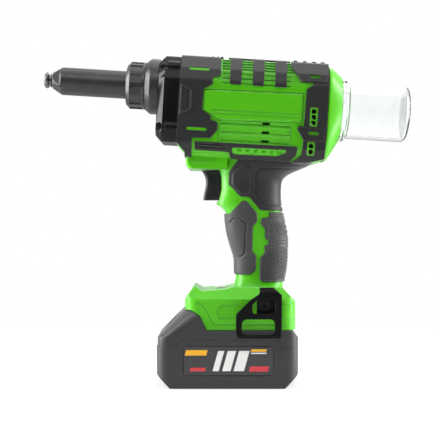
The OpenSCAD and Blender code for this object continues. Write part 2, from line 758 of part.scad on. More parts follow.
module housing_cavities() {
  ceiling = foot_bottom + rail_lip + rail_head_height + gap;
  barrel() {
    rib_bays();
    bar(body_front - over, nut_rear + seam, nut_chamber);
    bar(body_front, body_rear + over, tube_bore + tube_wall + fit);
    bar(plate_front - 2 * seam, shaft_rear + seam, chamber_radius, drop = motor_drop);
    bar(body_front - over, plate_front, motor_bearing_radius + fit, drop = motor_drop);
    for (i = [0, 1])
      for (k = [0:outlet_counts[i] - 1])
        translate([along(outlet_shares[i][0]), 0, outlet_shares[i][1] * body_height
          + (k - (outlet_counts[i] - 1) / 2) * outlet_pitch])
          cube([outlet_side, 4 * body_half, outlet_side], center = true);
    for (side = [-1, 1])
      for (k = [0:louvre_count - 1])
        translate([along(louvre_shares[0]), side * body_half,
          louvre_shares[1] * body_height - k * louvre_pitch])
          translate([0, -louvre_depth, -louvre_groove / 2])
            cube([louvre_length, 2 * louvre_depth, louvre_groove]);
    for (side = [-1, 1])
      for (k = air_slot_rows)
        translate([along(air_slot_shares[0]), side * body_half - air_slot_depth,
          air_slot_shares[1] * body_height + k * louvre_pitch - air_slot_height / 2])
          cube([air_slot_length, 2 * air_slot_depth, air_slot_height]);
    for (side = [-1, 1])
      for (k = scallop_rows)
        translate([0, side * (crown_half + k * (shoulder_half - crown_half)),
          crown_rise + k * (shoulder_rise - crown_rise)])
          bar(along(scallop_shares[0]), along(scallop_shares[1]), scallop_radius);
    for (p = ear_places)
      translate([0, p[0], p[1]])
        bar(body_front - over, body_front + case_screw_length - ear_length + seam,
          screw_radius + fit);
  }
  side_prism(-trigger_half - gap, trigger_half + gap)
    polygon(on_grip(trigger_slot_shares));
  block(switch_front - over, switch_front + switch_length + seam, trigger_half + fit,
    foot_bottom + switch_level - fit, foot_bottom + switch_level + switch_height + fit);
  block(board_front - fit, board_rear + fit, board_half + fit, board_low - fit, board_high + fit);
  for (run = wire_runs)
    translate([run[0], 0, run[1] - over])
      cylinder(h = run[2] - run[1] + 2 * over, r = wire_pocket);
  block(-foot_length, slot_end, rail_head_half + seam, foot_bottom + rail_lip, ceiling);
  block(-foot_length, slot_end, rail_neck_half + seam, foot_bottom - over, ceiling);
  translate([button_middle, 0, button_level - button_height])
    linear_extrude(4 * button_height)
      square([button_length + 2 * gap, button_width + 2 * gap], center = true);
  at_light()
    translate([0, 0, -lens_thick - fit])
      cylinder(h = 4 * lens_thick, r = lens_radius + fit);
  hook_place(-foot_half - over)
    rotate([-90, 0, 0])
      cylinder(h = hook_hole_depth + over, r = hook_screw_radius);
  mirror([0, 1, 0])
    hook_place(-foot_half - over)
      rotate([-90, 0, 0])
        cylinder(h = hook_hole_depth + over, r = hook_screw_radius);
  at_screws()
    screw_hole();
}

module housing_left() {
  color(shell_green)
    difference() {
      intersection() {
        housing_solid();
        half_space(-1);
      }
      housing_cavities();
    }
}

module housing_right() {
  color(shell_green)
    difference() {
      intersection() {
        housing_solid();
        half_space(1);
      }
      housing_cavities();
    }
}

module front_overmould() {
  color(rubber_dark)
    difference() {
      barrel() {
        flank_layer(0, rubber)
          difference() {
            polygon(on_body(front_pad_shares));
            inlay_windows(fit);
          }
        flank_layer(rubber - fit, rubber + lug_rise)
          polygon(on_body(front_relief_shares));
      }
      chin();
    }
}

module rear_overmould() {
  color(rubber_dark)
    difference() {
      barrel() {
        flank_layer(0, rubber)
          difference() {
            polygon(on_body(rear_pad_shares));
            inlay_windows(fit);
          }
        flank_layer(rubber - fit, rubber + lug_rise)
          difference() {
            union() {
              polygon(on_body(upper_lug_shares));
              polygon(on_body(lower_lug_shares));
            }
            inlay_windows(fit);
          }
      }
      handle(0);
      at_screws()
        screw_hole();
    }
}

module top_guard() {
  color(rubber_dark)
    barrel()
      difference() {
        intersection() {
          body_core(rubber + seam);
          union() {
            translate([along(rail_shares[0]), -rail_half, 0])
              cube([(rail_shares[1] - rail_shares[0]) * body_length, 2 * rail_half, body_height]);
            for (k = [0:strap_count - 1])
              translate([along(strap_shares[0]) + k * strap_pitch, -2 * body_half,
                strap_shares[1] * body_height])
                cube([strap_width, 4 * body_half, body_height]);
          }
        }
        body_core(0);
      }
}

module side_strips() {
  color(rubber_dark)
    barrel()
      flank_layer(0, rubber, belly_half - rubber)
        difference() {
          polygon(on_body(strip_shares));
          inlay_windows(fit);
          polygon(grown(on_body(front_pad_shares), -seam));
          polygon(grown(on_body(rear_pad_shares), -seam));
        }
}

module upper_grip() {
  color(rubber_dark)
    difference() {
      union() {
        grip_layer(0, rubber)
          polygon(on_grip(upper_grip_shares));
        grip_layer(rubber - fit, rubber + lug_rise)
          polygon(on_grip(octagon_shares));
      }
      barrel()
        body_core(rubber + fit);
      grip_screw_clear();
    }
}

module grip_screw_clear() {
  for (s = grip_screw_shares)
    translate([s[0] * foot_length, 0, foot_bottom + s[1] * grip_rise])
      rotate([-90, 0, 0])
        cylinder(h = 2 * body_half, r = 2 * screw_radius + seam);
}

module front_grip() {
  color(rubber_dark)
    grip_layer(0, rubber)
      polygon(on_grip(front_grip_shares));
}

module rear_grip() {
  color(rubber_dark)
    difference() {
      grip_layer(0, rubber)
        polygon(on_grip(rear_grip_shares));
      grip_screw_clear();
    }
}

// Rear cap and cup
cap_front_shares = [0.294, -0.668];
cap_rear_shares = [0.204, -0.458];
cap_half_share = 0.833;
cap_points = 40;

function cap_ring(u, half, ends, power, shrink) =
  let (mid = (ends[0] + ends[1]) / 2 * body_height, rise = (ends[0] - ends[1]) / 2 * body_height)
  [for (k = [0:cap_points - 1]) let (t = 360 * k / cap_points)
    [u, (half - shrink) * signed_power(cos(t), 2 / power),
     mid + (rise - shrink) * signed_power(sin(t), 2 / power)]];

module rear_cap() {
  color(shell_green)
    barrel()
      difference() {
        loft([cap_ring(body_rear + fit, body_half, cap_front_shares, 3.4, 0),
          cap_ring(body_rear + cap_length / 4, body_half, cap_front_shares, 3.2, seam),
          cap_ring(cap_rear, cap_half_share * body_half, cap_rear_shares, 2.2, 0)]);
        bar(cap_rear - spigot_length - gap, cap_rear + over, spigot_radius + gap, drop = cup_drop);
        bar(body_rear - over, cap_rear, tube_bore + tube_wall + fit);
      }
}

module mandrel_cup() {
  flange_front = cap_rear + gap;
  tube_from = flange_front + cup_flange;
  end = tube_from + cup_length;
  round_end = 2 * cup_wall;
  color(clear_tint)
    barrel()
      difference() {
        union() {
          bar(cap_rear - spigot_length, flange_front + fit, spigot_radius, drop = cup_drop);
          bar(flange_front, tube_from, cup_flange_radius, drop = cup_drop);
          bar(tube_from, end - round_end, cup_radius, drop = cup_drop);
          bar(end - round_end, end - cup_wall, cup_radius, cup_radius - cup_wall / 2,
            drop = cup_drop);
          bar(end - cup_wall, end, cup_radius - cup_wall / 2, cup_radius - 2 * cup_wall,
            drop = cup_drop);
        }
        bar(cap_rear - spigot_length - over, tube_from + cup_wall, spigot_radius - cup_wall,
          drop = cup_drop);
        bar(tube_from, end - cup_wall, cup_radius - cup_wall, drop = cup_drop);
        difference() {
          bar(seal_from, seal_from + cup_wall, spigot_radius + over, drop = cup_drop);
          bar(seal_from - over, seal_from + cup_wall + over, spigot_radius - cup_wall / 3,
            drop = cup_drop);
        }
      }
}

seal_from = cap_rear - spigot_length / 2;

module cup_seal() {
  color(rubber_dark)
    barrel()
      difference() {
        bar(seal_from + fit, seal_from + cup_wall - fit, spigot_radius + gap - fit,
          drop = cup_drop);
        bar(seal_from - over, seal_from + cup_wall + over, spigot_radius - cup_wall / 3 + fit,
          drop = cup_drop);
      }
}

// Gear case and nose
case_half = body_half - case_inset;
case_section = both_sides([[case_base_half, -case_drop], [case_half, -case_drop + case_bevel + over],
  [case_half, flank_rise], [shoulder_half - seam, shoulder_rise - over], [crown_half - seam, crown_rise]]);
ear_shares = [[0.790, 0.175], [0.900, -0.433]];
ear_places = [for (side = [-1, 1]) for (k = [0, 1])
  [side * ear_shares[k][0] * (k == 0 ? shoulder_half : case_half), ear_shares[k][1] * body_height]];

function case_ring(u, d) = [for (q = rounded(grown(case_section, d), body_round + d / 2, 3))
  [u, q[0], q[1]]];

module gear_case() {
  color(black_metal)
    barrel()
      difference() {
        union() {
          loft([case_ring(case_front, -case_bevel), case_ring(case_front + case_bevel, 0),
            case_ring(body_front - fit, 0)]);
          for (p = ear_places)
            translate([0, p[0], p[1]])
              bar(body_front - ear_length, body_front - fit, ear_radius);
        }
        bar(case_front + case_wall, body_front + over, gear_radius(nut_teeth, drive_tooth) + 2 * gap);
        bar(case_front - over, body_front, sleeve_bore);
        bar(case_front + case_wall, body_front + over,
          gear_radius(drive_teeth, drive_tooth) + 2 * gap, drop = motor_drop);
        for (p = ear_places)
          translate([0, p[0], p[1]])
            bar(case_front - over, body_front + over, screw_radius + fit);
        for (p = ear_places)
          translate([0, p[0], p[1]])
            bar(case_front - over, body_front - ear_length + fit, case_screw_head + seam);
      }
}

module gear_case_screws() {
  head = body_front - ear_length;
  color(steel)
    barrel()
      for (p = ear_places)
        translate([0, p[0], p[1]])
          difference() {
            union() {
              bar(head - ear_length / 4, head - fit, case_screw_head);
              bar(head - 2 * fit, head + case_screw_length, screw_radius);
            }
            translate([head - ear_length / 4, 0, 0])
              rotate([0, 90, 0])
                cylinder(h = ear_length / 3, r = case_screw_head / 2, center = true, $fn = 6);
          }
}

module nose_adapter() {
  color(black_metal)
    barrel()
      difference() {
        union() {
          bar(adapter_front, adapter_front + flare_length, collar_radius, adapter_radius);
          bar(adapter_front + flare_length - fit, case_front - fit, adapter_radius);
        }
        bar(adapter_front - over, case_front + over, sleeve_radius + fit);
      }
}

adapter_front = case_front - adapter_length - flare_length;

module nose_sleeve() {
  front = -sleeve_lead;
  color(black_metal)
    barrel()
      difference() {
        union() {
          bar(front, front + cone_length, tip_radius, sleeve_radius);
          bar(front + cone_length, case_front - fit, sleeve_radius);
        }
        bar(front + cone_length + over, case_front + over, sleeve_bore);
        bar(front - over, front + cone_length + 2 * over, tip_neck_radius - fit);
        for (side = [-1, 1])
          translate([front - over, side > 0 ? wrench_width / 2 : -wrench_width / 2 - sleeve_radius,
            -sleeve_radius])
            cube([cone_length + 2 * over, sleeve_radius, 2 * sleeve_radius]);
      }
}

module nosepiece() {
  front = -tip_lead;
  color(steel)
    barrel()
      difference() {
        union() {
          bar(front, front + tip_head_length / 4, tip_radius - tip_head_length / 5, tip_radius);
          bar(front + tip_head_length / 4, front + tip_head_length, tip_radius);
          bar(front + tip_head_length - fit, -sleeve_lead, tip_neck_radius);
          bar(-sleeve_lead - fit, front + tip_length, tip_neck_radius - 2 * fit);
        }
        bar(front - over, front + tip_length + over, tip_bore);
      }
}

module collar_nut() {
  front = -collar_lead;
  rear = adapter_front - gap;
  color(rubber_dark)
    barrel()
      difference() {
        union() {
          bar(front, front + collar_chamfer, collar_radius - collar_chamfer, collar_radius);
          bar(front + collar_chamfer, rear, collar_radius);
        }
        bar(front - over, rear + over, sleeve_radius + gap);
        for (k = [0:flute_count - 1])
          rotate([360 * (k + 1 / 2) / flute_count, 0, 0])
            translate([0, 0, collar_radius + flute_radius / 2])
              bar(front - over, rear - collar_chamfer / 2, flute_radius);
      }
}

// Gears
function inv(a) = tan(a) - a * PI / 180;
function gear_radius(z, m) = z * m / 2 + m * add_share;
function half_tooth(z, m, r, play) =
  let (rp = z * m / 2, rb = rp * cos(pressure_angle), a = r > rb ? acos(rb / r) : 0)
  90 / z + (inv(pressure_angle) - inv(a) - play / (2 * rp)) * 180 / PI;
function gear_points(z, m, play, add, root) =
  let (rp = z * m / 2, ra = rp + m * add, rf = rp - m * root)
  [for (i = [0:z - 1]) each [for (k = [-len(flank_shares):len(flank_shares) - 1])
    let (j = k < 0 ? k + len(flank_shares) : len(flank_shares) - 1 - k,
         r = rf + (ra - rf) * flank_shares[j],
         q = 360 * i / z + (k < 0 ? -1 : 1) * half_tooth(z, m, r, play))
    [r * cos(q), r * sin(q)]]];

// A gear from one station to another, its first tooth upward unless turned
module gear(from, to, z, m, turn) {
  section_run(from, to)
    rotate(90 + turn)
      polygon(gear_points(z, m, backlash / 2, add_share, root_share));
}

module stator() {
  color(copper)
    barrel()
      difference() {
        bar(stator_front, stator_front + stator_length, stator_radius, drop = motor_drop);
        bar(stator_front - over, stator_front + stator_length + over, stator_bore,
          drop = motor_drop);
        for (k = [0:5])
          translate([0, 0, -motor_drop])
            rotate([60 * k, 0, 0])
              translate([0, 0, (stator_bore + stator_radius) / 2])
                bar(stator_front - over, stator_front + stator_length + over,
                  (stator_radius - stator_bore) / 4);
      }
}

module ring_gear() {
  color(steel)
    barrel()
      translate([0, 0, -motor_drop])
        difference() {
          bar(ring_front, stage_rear, ring_radius);
          section_run(ring_front - over, stage_rear + over)
            rotate(90)
              polygon(gear_points(ring_teeth, planet_tooth, -backlash / 2, root_share, add_share));
        }
}

module rotor() {
  sun_front = ring_front + seam;
  color(steel)
    barrel()
      translate([0, 0, -motor_drop]) {
        bar(stator_front - over, stator_front + stator_length + over, rotor_radius);
        bar(stage_rear - seam, shaft_rear, shaft_radius);
        gear(sun_front, stage_rear, sun_teeth, planet_tooth, 0);
      }
}

module fan() {
  color(rubber_dark)
    barrel()
      translate([0, 0, -motor_drop])
        difference() {
          union() {
            bar(fan_front, fan_front + fan_length, 2 * shaft_radius);
            bar(fan_front, fan_front + fan_length / 4, fan_radius);
            for (k = [0:fan_blades - 1])
              rotate([360 * k / fan_blades, 0, 0])
                translate([fan_front, -fan_length / 10, shaft_radius + over])
                  cube([fan_length, fan_length / 5, fan_radius - shaft_radius - 2 * over]);
          }
          bar(fan_front - over, fan_front + fan_length + over, shaft_radius + fit);
        }
}

module motor_bearings() {
  color(steel)
    barrel()
      translate([0, 0, -motor_drop]) {
        bearing(stage_rear + seam, motor_bearing_width, shaft_radius + fit, chamber_radius - fit);
        bearing(shaft_rear - motor_bearing_width, motor_bearing_width, shaft_radius + fit,
          chamber_radius - fit);
        bearing(body_front + seam, motor_bearing_width, carrier_shaft + fit, motor_bearing_radius);
      }
}

module bearing(from, width, bore, outer) {
  difference() {
    bar(from, from + width, outer);
    bar(from - over, from + width + over, bore);
  }
}

carrier_shaft = drive_tooth * drive_teeth / 5;
pin_radius = planet_tooth * planet_teeth / 7;

module carrier() {
  color(steel)
    barrel()
      translate([0, 0, -motor_drop]) {
        gear(gear_front, gear_rear, drive_teeth, drive_tooth, 180 / drive_teeth);
        bar(gear_rear - fit, plate_front, carrier_shaft);
        bar(plate_front - fit, ring_front - seam, ring_radius - over);
        for (k = [0:2])
          rotate([-120 * k, 0, 0])
            translate([0, 0, planet_orbit])
              bar(ring_front - 2 * seam, stage_rear - seam, pin_radius);
      }
}

// Planet number k, a tooth space turned to the sun
module planet(k) {
  color(steel)
    barrel()
      translate([0, 0, -motor_drop])
        rotate([-120 * k, 0, 0])
          translate([0, 0, planet_orbit])
            difference() {
              gear(ring_front + seam, ring_front + seam + planet_face, planet_teeth,
                planet_tooth, 0);
              bar(ring_front - over, stage_rear + over, pin_radius + fit);
            }
}

// Screw drive
module nut_gear() {
  color(steel)
    barrel()
      difference() {
        gear(gear_front, gear_rear, nut_teeth, drive_tooth, 0);
        bar(gear_front - over, gear_rear + over, nut_radius + fit);
      }
}

module screw_nut() {
  color(steel)
    barrel()
      difference() {
        bar(nut_front, nut_rear, nut_radius);
        bar(nut_front - over, nut_rear + over, spindle_radius + fit);
      }
}

module nut_bearings() {
  color(steel)
    barrel() {
      bearing(body_front + fit, nut_bearing_width, nut_radius + fit, nut_bearing_radius);
      bearing(nut_rear - nut_bearing_width, nut_bearing_width, nut_radius + fit,
        nut_bearing_radius);
    }
}

jaw_case_front = -tip_lead + tip_length + 2 * gap;
jaw_case_rear = jaw_case_front + jaw_case_length;
cone_front = jaw_case_front + over;
cone_rear = cone_front + jaw_cone_length;
spindle_front = jaw_case_rear - 3 * over;

module spindle() {
  color(steel)
    barrel()
      difference() {
        union() {
          bar(spindle_front, spindle_rear, spindle_radius - 2 * fit);
          bar(jaw_case_rear + fit, jaw_case_rear + 2 * over, spindle_radius + over);
        }
        bar(spindle_front - over, spindle_rear + over, spindle_bore);
      }
}

module guide_tube() {
  color(steel)
    barrel()
      difference() {
        bar(tube_front, tube_rear, tube_bore + tube_wall);
        bar(tube_front - over, tube_rear + over, tube_bore);
      }
}

module jaw_case() {
  color(black_metal)
    barrel()
      difference() {
        bar(jaw_case_front, jaw_case_rear, jaw_case_radius);
        bar(jaw_case_front - over, cone_front + over, jaw_mouth - seam);
        bar(cone_front, cone_rear, jaw_mouth, jaw_cone_radius);
        bar(cone_rear - fit, jaw_case_rear + over, jaw_cone_radius);
      }
}

cone_angle = atan((jaw_cone_radius - jaw_mouth) / jaw_cone_length);

// Jaw number k, a third of a cone with its grip bore
module jaw(k) {
  reach = 2 * jaw_cone_radius;
  color(steel)
    barrel()
      rotate([-120 * k, 0, 0])
        intersection() {
          difference() {
            bar(cone_front + over, cone_rear - fit, jaw_mouth - seam / 2
              + over * tan(cone_angle), jaw_cone_radius - seam / 2);
            bar(cone_front, cone_rear + over, tip_bore + seam / 2);
          }
          translate([0, 0, jaw_split])
            section_run(cone_front, cone_rear)
              polygon([[0, 0], [reach * cos(30), reach * sin(30)], [0, 2 * reach],
                [-reach * cos(30), reach * sin(30)]]);
        }
}

pusher_front = cone_rear + seam;

module jaw_pusher() {
  color(steel)
    barrel()
      difference() {
        bar(pusher_front, pusher_front + pusher_length, jaw_cone_radius - seam);
        bar(pusher_front - over, pusher_front + pusher_length + over, spindle_bore);
      }
}

module jaw_spring() {
  color(steel)
    barrel()
      translate([pusher_front + pusher_length + fit, 0, 0])
        rotate([0, 90, 0])
          coil(spindle_radius - 2 * wire_radius - over / 2, wire_radius,
            spindle_front - pusher_front - pusher_length - 2 * fit, spring_turns);
}

// Trigger group and electrics
board_front_share = 0.16;
board_rear_share = 0.40;
board_front = board_front_share * foot_length;
board_rear = board_rear_share * foot_length;
board_half = 2 * rubber;
board_low_share = 0.22;
board_high_share = 0.48;
board_low = foot_bottom + board_low_share * grip_rise;
board_high = foot_bottom + board_high_share * grip_rise;
wire_pocket = 2 * rubber;
wire_shares = [[0.30, 0.056, 0.219], [0.405, 0.481, 0.743]];
wire_runs = [for (s = wire_shares)
  [s[0] * foot_length, foot_bottom + s[1] * grip_rise, foot_bottom + s[2] * grip_rise]];

module trigger() {
  color(rubber_dark)
    side_prism(-trigger_half, trigger_half)
      polygon(on_grip(trigger_shares));
}

module trigger_switch() {
  color(black_metal)
    block(switch_front, switch_front + switch_length, trigger_half, foot_bottom + switch_level,
      foot_bottom + switch_level + switch_height);
}

module trigger_spring() {
  rear = trigger_shares[1][0] * foot_length;
  color(steel)
    translate([rear + fit, 0, foot_bottom + switch_level + switch_height / 2])
      rotate([0, 90, 0])
        coil(spring_radius, wire_radius, switch_front - rear - 2 * fit, spring_turns);
}

module control_board() {
  color(board_green)
    union() {
      block(board_front, board_rear, board_half / 3, board_low, board_high);
      for (k = [0:2])
        translate([board_front + (k + 1 / 2) * (board_rear - board_front) / 4, -board_half,
          board_low + (board_high - board_low) / 4])
          cube([(board_rear - board_front) / 6, board_half, (board_high - board_low) / 6]);
    }
}

module wiring() {
  color(copper)
    for (run = wire_runs)
      for (side = [-1, 1])
        translate([run[0], side * (wire_pocket / 2), run[1]])
          cylinder(h = run[2] - run[1], r = wire_pocket / 2 - fit);
}

blade_places = [-1, 0, 1];
blade_thick = sheet / 2;
block_front = slot_end - 4 * rail_lip;
tower_rear = block_front - 4 * gap;

module terminal_block() {
  low = foot_bottom + rail_lip + seam;
  high = foot_bottom + rail_lip + rail_head_height;
  color(black_metal)
    union() {
      block(block_front, slot_end - fit, rail_neck_half / 2 + rail_lip, low, high + gap - fit);
      for (k = blade_places)
        translate([0, k * blade_pitch, 0])
          block(block_front - 6 * rail_lip, block_front + fit, blade_thick / 2, low + rail_lip / 2,
            high - rail_lip / 2);
    }
}

// Work light in the foot's front slope
light_low = on_grip([foot_shares[11]])[0];
light_high = on_grip([foot_shares[10]])[0];
light_angle = atan2(light_low[1] - light_high[1], light_high[0] - light_low[0]);
lens_radius = 3 * rubber;
lens_thick = 2 * rubber;

module at_light() {
  translate([(light_low[0] + light_high[0]) / 2, 0, (light_low[1] + light_high[1]) / 2])
    rotate([0, light_angle, 0])
      children();
}

module light_lens() {
  color(clear_tint)
    at_light()
      translate([0, 0, -lens_thick])
        cylinder(h = lens_thick + seam, r = lens_radius);
}

button_middle_share = -0.0585;
button_middle = button_middle_share * foot_length;
button_level_share = 0.170;
button_level = foot_bottom + button_level_share * grip_rise;

module mode_button() {
  color([0.9, 0.9, 0.9])
    translate([button_middle, 0, button_level - button_height + 4 * gap])
      linear_extrude(button_height - 4 * gap)
        polygon(rounded([[-button_length / 2, -button_width / 2], [button_length / 2, -button_width / 2],
          [button_length / 2, button_width / 2], [-button_length / 2, button_width / 2]],
          button_height / 3, 4));
}

// Belt hook on the left side of the foot
hook_shares = [
  [0.481, 0.150], [0.481, 0.020], [0.475, -0.028], [0.092, -0.028], [0.074, -0.012], [0.074, 0.069],
  [0.200, 0.127], [0.286, 0.152]];
hook_window_shares = [[0.222, 0.072], [0.424, 0.072], [0.424, 0.127], [0.262, 0.127], [0.222, 0.108]];
hook_slot_shares = [[0.128, -0.012], [0.420, -0.012], [0.420, 0.049], [0.128, 0.049]];
hook_tab_shares = [[0.262, 0.066], [0.430, 0.066], [0.430, 0.152], [0.286, 0.152], [0.262, 0.135]];
hook_screw_share = [0.332, 0.103];
hook_lip_share = 0.018;

module hook_place(y) {
  translate([hook_screw_share[0] * foot_length, y, foot_bottom + hook_screw_share[1] * grip_rise])
    children();
}

module belt_hook() {
  inner = -foot_half;
  outer = inner - hook_gap - sheet;
  fold = hook_gap / 2 + sheet;
  top = foot_bottom + hook_shares[0][1] * grip_rise;
  left = hook_shares[7][0] * foot_length;
  right = hook_shares[0][0] * foot_length;
  lip = foot_bottom - hook_lip_share * grip_rise;
  lip_end = foot_bottom + hook_shares[2][1] * grip_rise;
  color(black_metal)
    difference() {
      union() {
        difference() {
          side_prism(outer - sheet, outer)
            difference() {
              polygon(on_grip(hook_shares));
              polygon(rounded(on_grip(hook_window_shares), sheet, 3));
              polygon(rounded(on_grip(hook_slot_shares), 2 * sheet, 4));
            }
          block(-foot_length, foot_length, 2 * foot_half, 0, lip);
        }
        intersection() {
          side_prism(-2 * foot_half, 0)
            polygon(on_grip(hook_shares));
          section_run(-foot_length, foot_length)
            polygon([[outer, lip + fit], [outer - sheet, lip + fit],
              [outer - sheet - hook_flare, lip_end], [outer - hook_flare, lip_end]]);
        }
        side_prism(inner - sheet, inner - fit)
          polygon(on_grip(hook_tab_shares));
        intersection() {
          translate([left, inner - fold, top])
            rotate([0, 90, 0])
              difference() {
                cylinder(h = right - left, r = fold);
                translate([0, 0, -over])
                  cylinder(h = right - left + 2 * over, r = hook_gap / 2);
              }
          translate([left - over, outer - 2 * sheet, top - fit])
            cube([right - left + 2 * over, 4 * fold, 4 * fold]);
        }
      }
      hook_place(inner - 2 * sheet)
        rotate([-90, 0, 0])
          cylinder(h = 4 * sheet, r = hook_screw_radius + fit);
    }
}

module belt_hook_screw() {
  color(steel)
    hook_place(-foot_half - sheet)
      difference() {
        union() {
          rotate([-90, 0, 0])
            cylinder(h = hook_hole_depth, r = hook_screw_radius - fit);
          rotate([90, 0, 0])
            cylinder(h = sheet, r = hook_screw_head);
        }
        rotate([90, 0, 0])
          translate([0, 0, sheet / 3])
            cylinder(h = over, r = hook_screw_head / 2, $fn = 6);
      }
}

// Battery pack
pack_side_shares = [
  [-0.500, 0.238], [-0.404, 0.000], [0.404, 0.000], [0.500, 0.238], [0.500, 0.870], [0.472, 0.960],
  [0.452, 1.000], [-0.147, 1.000], [-0.195, 1.240], [-0.250, 1.342], [-0.304, 1.354],
  [-0.492, 0.880], [-0.500, 0.830]];
seam_shares = [
  [-0.600, -0.100], [0.600, -0.100], [0.600, 0.713], [0.388, 0.713], [0.367, 0.846], [-0.332, 0.846],
  [-0.360, 0.725], [-0.600, 0.725]];
label_shares = [[-0.312, 0.223], [0.326, 0.223], [0.326, 0.742], [-0.312, 0.742]];
slope_share = 0.5;
tower_front_share = -0.180;
tower_front = tower_front_share * pack_length;
pack_screw_shares = [0.440, 0.763];

function on_pack(s) = [for (q = s) [q[0] * pack_length, q[1] * pack_height]];

module pack_outer() {
  intersection() {
    side_prism(-pack_half, pack_half)
      polygon(on_pack(pack_side_shares));
    linear_extrude(2 * pack_height)
      polygon(rounded([[-pack_length / 2, -pack_half], [pack_length / 2, -pack_half],
        [pack_length / 2, pack_half], [-pack_length / 2, pack_half]], pack_round, 5));
  }
}

bay_half = pack_length / 2 - bay_end;
cell_columns = floor(2 * bay_half / cell_pitch);
cell_stations = [for (i = [0:cell_columns - 1]) (i - (cell_columns - 1) / 2) * cell_pitch];

module pack_bay() {
  block(-bay_half, bay_half, bay_half_width, pack_floor, bay_top);
}

bay_top = cell_level + layer_pitch + cell_radius + 2 * over + seam;
board_level = cell_level + layer_pitch + cell_radius + seam;

module at_pack_screws() {
  for (x = [-1, 1])
    for (y = [-1, 1])
      translate([x * pack_screw_shares[0] * pack_length, y * pack_screw_shares[1] * pack_half, 0])
        children();
}

module battery_lower_case() {
  color(pack_dark)
    difference() {
      intersection() {
        pack_outer();
        side_prism(-2 * pack_half, 2 * pack_half)
          polygon(on_pack(seam_shares));
      }
      pack_bay();
      for (side = [-1, 1])
        translate([0, side * pack_half, 0])
          side_prism(-label_depth, label_depth)
            polygon(rounded(on_pack(label_shares), 2 * over, 3));
      at_pack_screws() {
        translate([0, 0, -over])
          cylinder(h = pack_chamfer, r = 2 * screw_radius + seam / 2);
        cylinder(h = pack_height, r = screw_radius + fit);
      }
    }
}

module at_slope() {
  low = on_pack([pack_side_shares[11]])[0];
  high = on_pack([pack_side_shares[10]])[0];
  translate([low[0] + (high[0] - low[0]) * slope_share, 0, low[1] + (high[1] - low[1]) * slope_share])
    rotate([0, atan2(low[1] - high[1], high[0] - low[0]), 0])
      children();
}

module battery_upper_case() {
  rail_low = foot_bottom + rail_lip + gap;
  rail_high = foot_bottom + rail_lip + rail_head_height;
  color(pack_dark)
    difference() {
      union() {
        difference() {
          pack_outer();
          side_prism(-2 * pack_half, 2 * pack_half)
            polygon(on_pack(seam_shares));
        }
        block(tower_front, tower_rear, rail_neck_half, pack_height - over, rail_high);
        block(tower_front, tower_rear, rail_head_half, rail_low, rail_high);
      }
      pack_bay();
      for (k = blade_places)
        translate([0, k * blade_pitch, 0])
          block(tower_rear - 7 * rail_lip, tower_rear + over, blade_thick + gap, bay_top - over,
            rail_high + over);
      at_pack_screws()
        cylinder(h = pack_height - over - seam, r = screw_radius + fit);
      at_slope() {
        translate([0, 0, -latch_thick - latch_travel + latch_proud - 2 * over])
          cylinder(h = 2 * latch_thick, r = spring_radius + wire_radius + fit);
        translate([-latch_length / 2 - gap, -latch_width / 2 - gap,
          -latch_thick - latch_travel + latch_proud - gap])
          cube([latch_length + 2 * gap, latch_width + 2 * gap, 4 * latch_thick]);
      }
    }
}

module battery_latch() {
  color(shell_green)
    at_slope()
      translate([0, 0, latch_proud - latch_thick])
        linear_extrude(latch_thick)
          polygon(rounded([[-latch_length / 2, -latch_width / 2], [latch_length / 2, -latch_width / 2],
            [latch_length / 2, latch_width / 2], [-latch_length / 2, latch_width / 2]], over, 3));
}

module latch_spring() {
  floor = -latch_thick - latch_travel + latch_proud - 2 * over;
  color(steel)
    at_slope()
      translate([0, 0, floor + fit])
        coil(spring_radius, wire_radius, latch_travel + 2 * over - 2 * fit, spring_turns);
}

module at_cells() {
  for (x = cell_stations)
    for (k = [0, 1])
      translate([x, 0, cell_level + k * layer_pitch])
        rotate([90, 0, 0])
          children();
}

module battery_cells() {
  color([0.2, 0.45, 0.75])
    at_cells()
      cylinder(h = cell_length, r = cell_radius, center = true);
}

module cell_holders() {
  thick = 3 * over;
  color(black_metal)
    difference() {
      for (side = [-1, 1])
        translate([0, side * cell_length / 3, 0])
          block(-bay_half + fit, bay_half - fit, thick / 2, pack_floor + fit, board_level - fit);
      at_cells()
        cylinder(h = 2 * cell_length, r = cell_radius + fit, center = true);
    }
}

module cell_straps() {
  color(steel)
    for (side = [-1, 1])
      for (x = cell_stations)
        translate([x, side * (cell_length / 2 + fit + wire_radius / 2), 0])
          block(-cell_radius / 2, cell_radius / 2, wire_radius / 2, cell_level - cell_radius / 2,
            cell_level + layer_pitch + cell_radius / 2);
}

module battery_board() {
  color(board_green)
    block(tower_front, bay_half - over, rail_head_half, board_level, board_level + sheet);
}

module battery_terminals() {
  top = foot_bottom + rail_lip + rail_head_height - rail_lip / 2;
  color(copper)
    for (k = blade_places)
      for (side = [-1, 1])
        translate([0, k * blade_pitch + side * (blade_thick / 2 + gap + gap / 2), 0])
          block(tower_rear - 4 * rail_lip, tower_rear - rail_lip, gap / 2 - fit / 2,
            board_level + sheet + fit, top);
}

module battery_screws() {
  head = pack_chamfer - over;
  color(steel)
    at_pack_screws()
      difference() {
        union() {
          translate([0, 0, head - screw_radius])
            cylinder(h = screw_radius - fit, r = 2 * screw_radius);
          translate([0, 0, head - screw_radius])
            cylinder(h = pack_height - head - over - 2 * seam, r = screw_radius);
        }
        translate([0, 0, head - 2 * screw_radius])
          cylinder(h = 2 * screw_radius - screw_radius / 3, r = screw_radius, $fn = 6);
      }
}

module housing_screws() {
  color(steel)
    at_screws()
      housing_screw();
}

